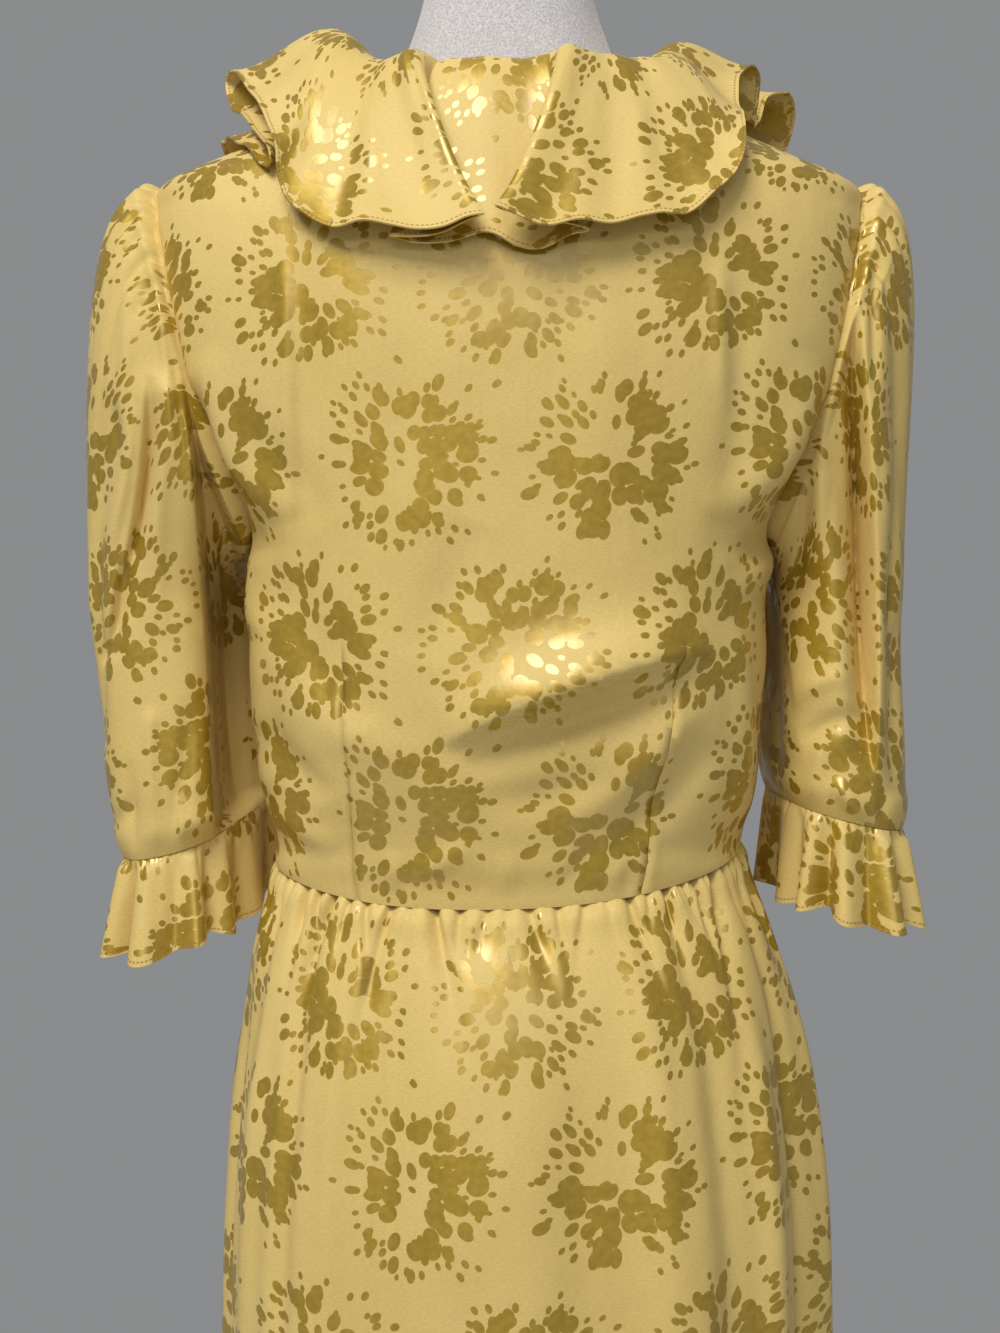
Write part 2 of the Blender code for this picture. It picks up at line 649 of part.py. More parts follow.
def sleeve_point(side, start, turn, step):
    """A point of the sleeve: step runs 0 to 1 over its head and on to 2 down the tube."""
    table = SLEEVE_LEFT if side == "left" else SLEEVE_RIGHT
    top = table[0, 0]
    c = math.cos(math.radians(turn))
    if step <= 1:
        target = tube_point(table, side, top, turn)[0]
        leave = leave_way(turn)
        size = LEAVE_SIDE + LEAVE_TIP * max(c, 0) ** 1.5 + LEAVE_UNDER * max(-c, 0)
        leave *= size / np.linalg.norm(leave)
        fall = np.array((0, 0, -1)) * (FALL_SIDE + (FALL_TIP if c > 0 else FALL_UNDER) * c)
        t = step
        return (
            (1 + 2 * t) * (1 - t) ** 2 * start
            + t * (1 - t) ** 2 * leave
            + t * t * (3 - 2 * t) * target
            + t * t * (t - 1) * fall
        )
    middle, tilt_x, tilt_y = CUFF_LEVEL[side]
    _, across, deep = tube_point(table, side, top, turn)
    seam = middle + tilt_x * across + tilt_y * deep
    level = top + (seam - top) * (step - 1)
    shape = top + (table[-1, 0] - top) * (step - 1)
    point = tube_point(table, side, shape, turn)[0]
    point[2] = level
    return point


def sleeve_fold(side, turn, step):
    """How deep the sleeve's long fold is here."""
    depth = 0.0
    for which, top, foot, begins, ends, deep, half in SLEEVE_FOLDS:
        if which != side:
            continue
        along = (step / 2 - begins) / (ends - begins)
        if 0 < along < 1:
            centre = top + (foot - top) * along
            away = (turn - centre + 180) % 360 - 180
            depth += deep * math.sin(math.pi * along) ** 0.6 * math.exp(-((away / half) ** 2))
    return depth


def sleeve_turns(ring):
    """Turn angles for the ring's points, by length along each half of the armhole."""
    places = [point for point, _ in ring]
    low = min(range(len(places)), key=lambda k: places[k][2])
    lengths = [np.linalg.norm(b - a) for a, b in zip(places, places[1:] + places[:1])]
    back, front = sum(lengths[:low]), sum(lengths[low:])
    turns, run = [], 0.0
    for k, length in enumerate(lengths):
        turns.append(180 * run / back if k <= low else 180 + 180 * (run - back) / front)
        run += length
    return turns


def sleeve_grid(side):
    ring = armhole_ring(side)
    turns = sleeve_turns(ring)
    head = [k for k, (_, pieces) in enumerate(ring) if pieces > 1]
    ripple = {}
    order = sorted(head, key=lambda k: (turns[k] + 180) % 360)
    for n, k in enumerate(order):
        ripple[k] = math.cos(2 * math.pi * HEAD_GATHERS * n / len(order))
    grid = []
    for step in (*SLEEVE_STEPS, *(1 + t for t in TUBE_STEPS)):
        line = []
        for k, (start, _) in enumerate(ring):
            c, s = math.cos(math.radians(turns[k])), math.sin(math.radians(turns[k]))
            root = start + leave_way(turns[k]) * ARMHOLE_GAP
            point = sleeve_point(side, root, turns[k], step)
            out = np.array((c * 0.6, s, max(c, 0) * 0.8 * (1 - min(step, 1))))
            out /= np.linalg.norm(out) + 1e-9
            push = -sleeve_fold(side, turns[k], step)
            if k in ripple and 0 < step < HEAD_GATHER_END:
                swell = math.sin(math.pi * step / HEAD_GATHER_END) ** 0.5
                push += HEAD_GATHER_DEPTH * ripple[k] * swell
            line.append(point + out * push)
        grid.append(line)
    return np.array(grid)[::-1]


def mirrored(grid):
    """The same grid on the wearer's right, with its points in the order that keeps it facing out."""
    grid = np.array(grid)
    grid[:, :, 0] *= -1
    return grid[:, ::-1]


def sleeves():
    for side in ("left", "right"):
        grid = sleeve_grid(side)
        if side == "right":
            grid = mirrored(grid)
        wall("sleeve_" + side, grid, WALL, SATIN, ring=True, side=-1.0, flat_rows=(0,))


def cuff_ruffle(side):
    """The ruffle below a sleeve's seam, its waves growing towards the hem."""
    columns = CUFF_WAVES * 4
    grid = []
    for step in reversed(CUFF_STEPS):
        line = []
        for k in range(columns):
            turn = 360 * k / columns
            seam = sleeve_point(side, None, turn, 2.0)
            ahead = sleeve_point(side, None, turn + 4, 2.0)
            run = ahead - seam
            out = np.array((run[1], -run[0], 0.0))
            out /= np.linalg.norm(out)
            angle = math.radians(turn)
            swing = CUFF_UNEVEN * math.sin(CUFF_UNEVEN_TURNS * angle + CUFF_PHASE[side])
            wave = CUFF_WAVE_DEPTH * (1 - CUFF_UNEVEN + swing) * math.cos(CUFF_WAVES * angle)
            inner = ease((-math.cos(angle) - CUFF_CALM_FROM) / CUFF_CALM_RUN)
            wave *= 1 - CUFF_WAVE_CALM * inner
            flare = CUFF_FLARE * (1 - CUFF_FLARE_CALM * inner)
            grown = CUFF_WAVE_START * (step > 0) + (1 - CUFF_WAVE_START) * step
            point = seam + out * (wave * grown + flare * step)
            point[2] -= SEAM + CUFF_DROP * step
            line.append(point)
        grid.append(line)
    if side == "right":
        grid = mirrored(grid)
    level = (0, len(grid) - 1)
    wall("cuff_ruffle_" + side, grid, RUFFLE_WALL, SATIN, ring=True, side=-1.0, flat_rows=level)


def neckline_root(root):
    """A point of the seam that carries the flounce, and the way out of the body there."""
    side = math.copysign(1.0, root)
    past = abs(root) - 90
    if abs(root) <= NECK_CORNER:
        corner = max(past, 0.0) / (NECK_CORNER - 90) * (90 + neck_edge(NECK))
        turn = side * (90 + min(past, 0.0) + corner)
        x, y = section_point(*NECK_SEAM, SQUARE, turn)
        return np.array((x, y, NECK + FLOUNCE_RISE)), outward(turn)
    level = NECK - (abs(root) - NECK_CORNER) * STEP_DOWN
    edge = side * (180 + neck_edge(level))
    over = wrap_lift(level, abs(edge) - 90) if side < 0 else 0.0
    way = body_normal(level, edge)
    return body_point(level, edge) + way * (over + FLOUNCE_RISE), way


def front_stations(side):
    """Rows like FLOUNCE for the flounce down a front, its waves worked out one by one."""
    first = FLOUNCE[0, 0] + 3 if side > 0 else FLOUNCE[-1, 0] - 3
    last = FLOUNCE_LEFT_END if side > 0 else FLOUNCE_RIGHT_END
    count = round(abs(last - first) / FRONT_WAVE_STEPS * FRONT_STATIONS_A_WAVE)
    rows = []
    for k in range(count + 1):
        root = first + (last - first) * k / count
        start, _ = neckline_root(root)
        share = k / count
        depth = FLOUNCE_DEPTH + (FLOUNCE_END_DEPTH - FLOUNCE_DEPTH) * share**1.5
        wave = 0.5 - 0.5 * math.cos(2 * math.pi * k / FRONT_STATIONS_A_WAVE)
        slope = FRONT_SLOPE * (1 - share) + (0.0 if side > 0 else FRONT_SLOPE) * share
        x = start[0] + side * depth * math.cos(slope)
        level = start[2] - depth * math.sin(slope)
        wide, _, deep, square = smooth_rows(BODICE, level)
        inside = min(abs(x) / wide, FRONT_SIDE_LIMIT)
        y = -deep * (1 - inside**square) ** (1 / square)
        lift = FLOUNCE_LIFT + (WRAP_LIFT if side < 0 else 0)
        lift += FLOUNCE_WAVE * wave * (1 - 0.5 * share) * depth / FLOUNCE_DEPTH
        rise = FRONT_RISE + FRONT_RISE_TOP * max(0, 1 - 4 * share)
        reach = (FRONT_REACH + FRONT_REACH_WAVE * wave) * depth / FLOUNCE_DEPTH + FRONT_REACH_END
        rows.append((root, x, y - lift, level, rise, reach))
    return rows


def flounce_rows():
    """Every station of the flounce, from the end on the left front to the end on the right."""
    return front_stations(1)[::-1] + [tuple(row) for row in FLOUNCE] + front_stations(-1)


def rib_point(row, step):
    """A point of the flounce between its seam and its hem."""
    root, x, y, z, rise, reach = row
    start, way = neckline_root(root)
    fall = np.array((x, y, z)) - start
    along = np.array((-way[1], way[0], 0.0))
    swing = along * (fall @ along)
    lift = np.array((0, 0, rise)) + way * reach
    straight = start + (fall - swing) * step + swing * step**FLOUNCE_SWING
    return straight + lift * FLOUNCE_HUMP * step * (1 - step) ** 2


def collar_flounce():
    rows = flounce_rows()
    grid = [[rib_point(row, step) for row in rows[::-1]] for step in reversed(FLOUNCE_STEPS)]
    wall("collar_flounce", grid, RUFFLE_WALL, SATIN, outside=RUFFLE_WALL / 2)


def form():
    rings = []
    turns = np.linspace(0, 360, 24, endpoint=False)
    for level, *shape in FORM:
        rings.append([(*section_point(*shape, SQUARE, turn), level) for turn in turns])
    for level in FORM_UNDER_NECKLINE:
        shape = smooth_rows(BODICE, level + 0.0002)[:3] - FORM_INSET
        rings.append([(*section_point(*shape, SQUARE, turn), level - FORM_DROP) for turn in turns])
    for level, *shape in FORM_NECK:
        rings.append([(*section_point(*shape, SQUARE, turn), level) for turn in turns])
    solid("form_body", rings, FLOCK)
    top = FORM_NECK[-1, 0] + JOINT
    cap = []
    for up, share in CAP:
        shape = FORM_NECK[-1, 1:] * share
        cap.append([(*section_point(*shape, 2.0, turn), top + up) for turn in turns])
    solid("form_cap", cap, PAINT)
    pole = ((BASE_HEIGHT + JOINT, 1.0), (FORM[0, 0] - JOINT, 1.0))
    disc("form_pole", POLE_RADIUS, pole, 20, STEEL)
    base = ((0.0, 1.0), (BASE_HEIGHT - BASE_EDGE, 1.0), (BASE_HEIGHT, 0.985))
    disc("form_base", BASE_RADIUS, base, 48, STEEL)


def tie_tail(name, start, end, length, lift):
    """A tail of the tie, hanging over the skirt between two angles."""
    grid = []
    for share in np.linspace(1, 0, 7):
        line = []
        for degrees in np.linspace(start, end, 4):
            drop = TIE_TOP + length * share + (degrees - start) * TIE_SLANT * share
            middle = (start + end) / 2
            place = middle + (degrees - middle) * (0.75 + 0.25 * share)
            line.append(skirt_point(drop, place, 0.0) + outward(place) * lift)
        grid.append(line)
    wall(name, grid, WALL, SATIN)


def waist_tie():
    """The knot at the wearer's left front, on the upper front's corner, and its two tails."""
    way = outward(TIE_AT)
    across = np.array((-way[1], way[0], 0.0))
    middle = waist_point(TIE_AT) + way * KNOT_OUT
    rings = []
    for height, share in KNOT_RINGS:
        ring = []
        for k in range(12):
            turn = math.tau * k / 12
            ring.append(
                middle
                + across * (KNOT_WIDE * share * math.cos(turn))
                + way * (KNOT_DEEP * share * math.sin(turn))
                + (0, 0, height)
            )
        rings.append(ring)
    solid("waist_tie_knot", rings, SATIN)
    tie_tail("waist_tie_tail_front", TIE_AT - 1, TIE_AT + 9, TAIL_FRONT_LONG, TAIL_OUT)
    over = TAIL_OUT + TAIL_OVER
    tie_tail("waist_tie_tail_side", TIE_AT - 10, TIE_AT + 0.5, TAIL_SIDE_LONG, over)


def disc(name, radius, steps, sides, colour):
    """A round piece: each step is a level and the share of the radius there."""
    turns = [math.tau * k / sides for k in range(sides)]
    rings = []
    for level, share in steps:
        rings.append([(radius * share * math.cos(t), radius * share * math.sin(t), level) for t in turns])
    solid(name, rings, colour)


def main():
    clear_scene()
    bodice_back()
    bodice_front(1)
    bodice_front(-1)
    skirt()
    sleeves()
    cuff_ruffle("left")
    cuff_ruffle("right")
    collar_flounce()
    waist_tie()
    form()


main()
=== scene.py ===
"""Looks of a wrap dress of golden satin with a woven flower pattern, on a limbless dress form."""

import math

import bmesh
import bpy
import numpy as np
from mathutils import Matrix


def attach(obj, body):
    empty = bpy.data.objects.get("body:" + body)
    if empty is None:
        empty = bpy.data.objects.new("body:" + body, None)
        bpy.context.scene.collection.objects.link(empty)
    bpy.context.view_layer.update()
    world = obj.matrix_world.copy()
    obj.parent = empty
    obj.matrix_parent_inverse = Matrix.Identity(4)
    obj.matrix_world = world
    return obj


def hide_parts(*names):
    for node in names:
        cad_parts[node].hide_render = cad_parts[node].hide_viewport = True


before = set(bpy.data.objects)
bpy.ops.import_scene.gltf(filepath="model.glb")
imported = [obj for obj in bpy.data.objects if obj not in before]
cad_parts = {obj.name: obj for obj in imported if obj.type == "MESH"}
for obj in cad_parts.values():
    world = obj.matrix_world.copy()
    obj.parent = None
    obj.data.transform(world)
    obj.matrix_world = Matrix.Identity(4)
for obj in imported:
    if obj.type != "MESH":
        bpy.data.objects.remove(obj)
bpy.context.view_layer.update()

# Camera, as the photograph was taken: straight at the back, at the height of the waist darts
EYE = np.array((0.005, 1.15, 1.125))
FOCAL = 2078.0
PICTURE_WIDE, PICTURE_HIGH = 1000.0, 1333.0
SENSOR = 36.0
LENS = SENSOR * FOCAL / PICTURE_HIGH

THIN = 0.0005  # the cloth's thickness here, in metres
SHARP_FOLD = 75  # degrees between faces from which an edge stays sharp

# The same named sizes as in the solids, in metres and degrees
SEAM = 0.0004
WRAP_LIFT = 0.0032
# Where the upper front lifts off: degrees past the side, and the level above which it lies flat
WRAP_START, WRAP_RUN, WRAP_TOP, WRAP_FADE = 15, 40, 1.31, 0.08
WAIST, EVEN, UNDERARM, SHOULDER_TIP, NECK, HEM = 1.000, 1.100, 1.187, 1.3875, 1.440, 0.330
WAIST_RISE_FRONT, WAIST_RISE_SIDE, WAIST_TILT = 0.016, 0.009, -0.005
WAIST_WIDE, WAIST_BACK, WAIST_FRONT = 0.1275, 0.083, 0.093
SQUARE = 2.3
# In mm: height, half width, depth behind, depth in front; and squareness
BODICE = np.array((
    (990, 127.5, 83, 92, 2.3), (1030, 127.5, 88, 94, 2.35), (1065, 134, 97, 100, 2.5),
    (1100, 137.5, 101, 107, 2.6), (1130, 140.5, 103, 115, 2.6), (1165, 140, 104, 122, 2.6),
    (1190, 143, 105, 124, 2.58), (1220, 160, 106, 121, 2.48), (1250, 178, 107, 115, 2.38),
    (1300, 195, 108, 100, 2.3), (1345, 198, 104, 83, 2.3), (1370, 195.5, 98, 72, 2.3),
    (1387.5, 189, 90, 64, 2.3), (1400, 160, 84, 60, 2.3), (1415, 125, 76, 57, 2.3),
    (1430, 90, 66, 56, 2.3), (1440, 70, 58, 55, 2.3), (1460, 62, 52, 50, 2.3),
)) / (1000, 1000, 1000, 1000, 1)
# In mm: drop below the waist seam, half width, depth behind, depth in front, sideways shift, soft folds
SKIRT = np.array((
    (0, 127.5, 83, 93, 0, 0), (12, 131.5, 88, 98, 0, 0), (30, 137.5, 96, 104, -1, 0.6),
    (51, 143, 103, 109, -2, 1.2), (78.5, 148.5, 109, 113, -4, 2), (128, 155.5, 116, 117, -5, 2.8),
    (177.5, 160, 120, 120, -6, 3.4), (267, 162.5, 122, 122, -6, 4.2), (430, 167, 127, 126, -5, 5.5),
    (700, 177, 136, 135, -4, 7.5),
)) / 1000
ARMHOLE_BACK, ARMHOLE_FRONT = 28.0, 34.0
# In mm: level, and sideways distance of a front's edge past the centre
NECK_EDGE = np.array((
    (1034, 82), (1100, 63), (1187, 30), (1290, -10), (1380, -44), (1440, -66),
)) / 1000
SKIRT_CROSSING = 0.075
# In mm: level, outer edge, inner edge, back, front
SLEEVE = {
    "left": np.array((
        (1030, 213, 145, 31, -72), (1060, 219.5, 146, 34, -80), (1105, 224.5, 149, 35, -83),
        (1160, 231, 151, 37, -85),
    )) / 1000,
    "right": np.array((
        (1036, 218, 149.5, 40, -62), (1060, 218.5, 145.5, 44, -72), (1105, 216, 146, 47, -76),
        (1160, 214, 148, 46, -78),
    )) / 1000,
}
SLEEVE_TOP = 1.160
SLEEVE_SQUARE = 2.3
SLEEVE_SKEW = {"left": 0.15, "right": 0.04}
INNER_SWELL = {"left": 0.009, "right": 0.006}
CUFF_LEVEL = {"left": (1.037, -0.008, -0.014), "right": (1.047, -0.008, -0.006)}
# The long fold of each sleeve: turn at its top and foot, where it begins and ends, depth, half width
SLEEVE_FOLDS = {
    "left": (62.0, 33.0, 0.25, 0.80, 0.0075, 13.0),
    "right": (48.0, 52.0, 0.10, 0.93, 0.0090, 12.0),
}
CUFF_DROP = 0.056
CUFF_FLARE = 0.009

# Root angle; and in mm: the hem's x, y and z, rise, reach
FLOUNCE = np.array((
    (100, 148, -58, 1400, 34, 14), (97, 157, -36, 1410, 34, 14), (95, 160, -12, 1414, 36, 12),
    (93, 156, 18, 1411.5, 36, 8), (89, 139, 60, 1398.5, 42, 3), (87, 129, 77.5, 1385.5, 47, 3),
    (85.3, 123.8, 85.8, 1383.5, 51, 3), (83.8, 124.2, 84.5, 1389.5, 49, 3), (82.4, 129, 74.5, 1399, 46, 2),
    (80, 135.5, 56, 1409, 46, 3), (78, 143, 34, 1420, 46, 4), (76, 153, 6, 1432, 44, 4),
    (73.5, 158.4, -10, 1450.7, 48, 6), (70.5, 151.5, 12, 1451, 52, 9), (67.5, 137, 47, 1429, 56, 12),
    (64.5, 125, 79, 1406, 58, 14), (61, 118.5, 94.5, 1385, 55, 15), (57, 116.8, 97.5, 1373.2, 52, 15),
    (53.5, 113.5, 100, 1361.5, 51, 15), (50.5, 102.4, 105.5, 1352.3, 52, 15),
    (48, 88.2, 111, 1345.8, 53, 15), (45.5, 73.6, 117.5, 1346.5, 54, 16),
    (43.5, 59.8, 119, 1343.9, 56, 20), (41.5, 46.7, 121.5, 1341.9, 58, 22),
    (39.5, 33.2, 125.5, 1343, 61, 26), (38.4, 21.5, 129.2, 1347.1, 57, 25),
    (37.4, 14.8, 130.8, 1347.8, 57, 26), (36.4, 12, 129.2, 1347.7, 57, 25),
    (35.3, 14.5, 127, 1346.8, 56, 23), (33.6, 19.5, 125.4, 1345.5, 55, 21),
    (30, 34.8, 120.5, 1340, 53, 17), (27, 50, 116, 1339.5, 48, 11), (25.2, 59, 115, 1340, 44, 8),
    (24, 61.2, 113, 1340.2, 44, 8), (22.8, 58.5, 110.8, 1339.6, 46, 8), (21, 49.6, 109.2, 1337.7, 49, 9),
    (15, 30.5, 110.5, 1338.5, 49, 9), (7, 11.5, 111, 1341.9, 49, 9), (0, -4, 112, 1335.6, 49, 9),
    (-5, -17.5, 112, 1334.6, 49, 9), (-8, -32, 112, 1341, 50, 9), (-10, -38.5, 114, 1342.5, 51, 10),
    (-12.5, -34.5, 117.5, 1343, 52, 13), (-16, -17.3, 122, 1345.4, 53, 18),
    (-19, 1, 125.5, 1350.3, 55, 22), (-20.6, 4.8, 126.6, 1351.1, 56, 23),
    (-22, 6.8, 128.5, 1351.3, 57, 24), (-23.2, 4.5, 130.3, 1350.5, 57, 25),
    (-24.6, -3.9, 130.6, 1347.3, 57, 25), (-26.8, -18.7, 127.2, 1342.9, 56, 23),
    (-29.5, -34.1, 123.5, 1345.6, 55, 19), (-33, -50.2, 119.5, 1345, 54, 17),
    (-36.5, -65.2, 118, 1349.8, 53, 15), (-40, -76, 116, 1352.2, 52, 15),
    (-45, -88.7, 111, 1352.2, 51, 15), (-51, -103.6, 103.5, 1364.1, 50, 15),
    (-57, -115, 96, 1376.5, 48, 13), (-62.5, -120, 89.7, 1390.6, 46, 11), (-67, -122.5, 64, 1413, 44, 8),
    (-71, -122.5, 40, 1429, 43, 6), (-75, -126.6, 20, 1448.8, 42, 6), (-78.5, -134, 8, 1455.5, 40, 5),
    (-81.5, -139.4, -2, 1452.3, 38, 4), (-84, -138.5, -8, 1440, 36, 3), (-86.5, -137, -12, 1428, 34, 2),
    (-89, -140, -20, 1430, 34, 3), (-92, -147.5, -30, 1449, 36, 5), (-94.5, -161.8, -44, 1454.8, 38, 6),
    (-97, -166.5, -56, 1444, 38, 6), (-99.5, -160, -64, 1420, 36, 6),
)) / (1, 1000, 1000, 1000, 1000, 1000)
STEP_DOWN, NECK_CORNER, NECK_SEAM = 0.004, 93.0, (0.0690, 0.0575, 0.0545)
FLOUNCE_ROOT, FLOUNCE_DEPTH, FLOUNCE_END_DEPTH = 0.0008, 0.090, 0.016
FLOUNCE_SWING, FLOUNCE_HUMP, FLOUNCE_LIFT, FLOUNCE_WAVE = 1.5, 3.375, 0.006, 0.020
FRONT_WAVE_STEPS, FRONT_STATIONS_A_WAVE = 10.0, 5
FLOUNCE_LEFT_END, FLOUNCE_RIGHT_END = 133.0, -190.0

# In mm: level, half width, depth behind, depth in front
FORM = np.array((
    (780, 128, 90, 88), (800, 133, 96, 93), (860, 135, 99, 96), (920, 131, 94, 93), (970, 122, 83, 87),
    (1010, 117, 75, 83), (1060, 121, 82, 88), (1100, 125, 88, 96), (1150, 129, 92, 106),
    (1200, 135, 95, 110), (1250, 148, 97, 103), (1300, 158, 97, 88), (1345, 164, 93, 73),
    (1370, 165, 88, 65), (1384.5, 164, 84, 59.5), (1396.5, 157, 80, 56), (1417.8, 115, 71, 50),
    (1437.8, 70, 56, 49), (1452, 61, 51, 49), (1468, 54.5, 47, 45), (1490, 47.8, 43, 42),
    (1512, 45.5, 41, 40),
)) / 1000


def hermite(t, low, leave, high, reach):
    """The smooth way from low to high that starts and ends along the two directions."""
    return (
        (1 + 2 * t) * (1 - t) ** 2 * low
        + t * (1 - t) ** 2 * leave
        + t * t * (3 - 2 * t) * high
        + t * t * (t - 1) * reach
    )


def rows_at(table, at):
    """The table's columns at values of its first one, on a smooth curve through its rows."""
    keys = table[:, 0]
    slopes = np.gradient(table[:, 1:], keys, axis=0)
    at = np.clip(at, keys[0], keys[-1])
    k = np.clip(np.searchsorted(keys, at) - 1, 0, len(keys) - 2)
    span = (keys[k + 1] - keys[k])[..., None]
    t = (at - keys[k])[..., None] / span
    return hermite(t, table[k, 1:], span * slopes[k], table[k + 1, 1:], span * slopes[k + 1])


def columns_at(table, at):
    return np.moveaxis(rows_at(table, at), -1, 0)


def ease(t):
    t = np.clip(t, 0, 1)
    return t * t * (3 - 2 * t)


def hill(x, width, sharp=2):
    """1 where x is 0, falling smoothly away past the width."""
    return np.exp(-((x / width) ** sharp))


def power(x, p):
    return np.sign(x) * np.abs(x) ** p


def turned(degrees):
    """The cosine and the sine."""
    return np.cos(np.radians(degrees)), np.sin(np.radians(degrees))


def past(turn, other):
    """Degrees from the other turn to this one, the shorter way round."""
    return (turn - other + 180) % 360 - 180


def uneven(n, rate, swing, middle=0.0):
    """A value that differs without order from one n to the next."""
    return middle + swing * math.sin(rate * n)


def section(wide, back, front, square, degrees):
    """Points of a rounded section. 0 degrees is the middle of the back, 90 the wearer's left."""
    c, s = turned(degrees)
    return wide * power(s, 2 / square), np.where(c > 0, back, front) * power(c, 2 / square)


def angle_at(x, wide, square):
    """The turn from the middle at which a section is this far sideways."""
    share = np.minimum(np.abs(x) / wide, 1.0)
    return np.sign(x) * np.degrees(np.arcsin(share ** (square / 2)))


def waist_level(degrees):
    """The height of the waist seam."""
    c, s = turned(degrees)
    return WAIST + WAIST_RISE_FRONT * (1 - c) + WAIST_RISE_SIDE * s * s + WAIST_TILT * s


def outward(degrees):
    """The level way out of the waist's section."""
    x, y = section(1 / WAIST_WIDE, 1 / WAIST_BACK, 1 / WAIST_FRONT, SQUARE / (SQUARE - 1), degrees)
    size = np.hypot(x, y)
    return np.stack((x / size, y / size, np.zeros_like(x)), -1)


def body(level, degrees):
    """Points of the bodice's form."""
    wide, back, front, square = columns_at(BODICE, level)
    x, y = section(wide, back, front, square, degrees)
    return np.stack(np.broadcast_arrays(x, y, level), -1)


def unit(v):
    return v / (np.linalg.norm(v, axis=-1, keepdims=True) + 1e-12)


def body_normal(level, degrees):
    along = body(level, degrees + 0.5) - body(level, degrees - 0.5)
    up = body(level + 0.001, degrees) - body(level - 0.001, degrees)
    return unit(np.cross(up, along))


def neck_edge(level):
    """Degrees past the front's centre at which a front ends."""
    wide, _, _, square = columns_at(BODICE, level)
    return angle_at(rows_at(NECK_EDGE, level)[..., 0], wide, square)


def wrap_lift(level, past_side):
    """How far the upper front lies over the lower one, by degrees past the side."""
    return WRAP_LIFT * ease((past_side - WRAP_START) / WRAP_RUN) * ease((WRAP_TOP - level) / WRAP_FADE)


def armhole_angle(level, front=False):
    """Degrees from the side to the armhole's edge."""
    share = np.clip((level - UNDERARM) / (SHOULDER_TIP - UNDERARM), 0, 1)
    return (ARMHOLE_FRONT if front else ARMHOLE_BACK) * np.sqrt(np.sin(math.pi * share))


def picture(points):
    """Where points show in the photograph, in pixels."""
    scale = FOCAL / (EYE[1] - points[..., 1])
    x = PICTURE_WIDE / 2 - (points[..., 0] - EYE[0]) * scale
    return x, PICTURE_HIGH / 2 - (points[..., 2] - EYE[2]) * scale


STROKE_FADE = 0.8  # power with which a stroke fades at its ends: the smaller, the later


def strokes(x, y, table):
    """Soft ridges and troughs. Each row: start, end, bow to its left, half width, height in mm, lean, root.

    Height above zero is a ridge. Lean makes the right side of the line steeper. Root is 1 where
    the fold is full at its start, 2 where it is full at both ends, and 0 where it fades at both.
    Lean and root are left out of a row where they are 0.
    """
    height = np.zeros_like(x)
    for x0, y0, x1, y1, bow, width, rise, *ends in table:
        lean, root = (*ends, 0, 0)[:2]
        run = np.array((x1 - x0, y1 - y0))
        length = np.hypot(*run)
        way = run / length
        t = ((x - x0) * way[0] + (y - y0) * way[1]) / length
        side = (x - x0) * way[1] - (y - y0) * way[0] - bow * 4 * t * (1 - t)
        inside = np.clip(t, 0, 1)
        fade = np.sin(math.pi * inside) ** STROKE_FADE
        if root >= 1:
            fade = np.where(t < 0.5, 1.0, fade)
        if root >= 2:
            fade = np.ones_like(t)
        beyond = np.maximum(np.maximum(-t, t - 1), 0) * length
        fade = fade * hill(beyond, width)
        spread = width * np.where(side > 0, 1 - lean, 1 + lean)
        height += rise / 1000 * fade * hill(side, spread)
    return height


def normals(grid, ring, side=1.0):
    """The way out of the cloth at each point. side is -1 where the columns run the other way."""
    along = np.roll(grid, -1, 1) - np.roll(grid, 1, 1) if ring else np.gradient(grid, axis=1)
    up = np.gradient(grid, axis=0)
    return unit(np.cross(up, along)) * side


def lengths(grid, axis):
    """Running length along an axis of a grid of points."""
    steps = np.linalg.norm(np.diff(grid, axis=axis), axis=-1)
    pad = [(0, 0), (0, 0)]
    pad[axis] = (1, 0)
    return np.cumsum(np.pad(steps, pad), axis=axis)


def cells(rows, across):
    """Row and column numbers of the squares of a grid."""
    i, j = np.meshgrid(np.arange(rows - 1), np.arange(across), indexing="ij")
    return i.ravel(), j.ravel()


def squares(i, j, cols):
    """The corners of squares in a grid of so many columns, which comes round to its first one."""
    k = (j + 1) % cols
    return np.stack((i * cols + j, i * cols + k, (i + 1) * cols + k, (i + 1) * cols + j), 1)


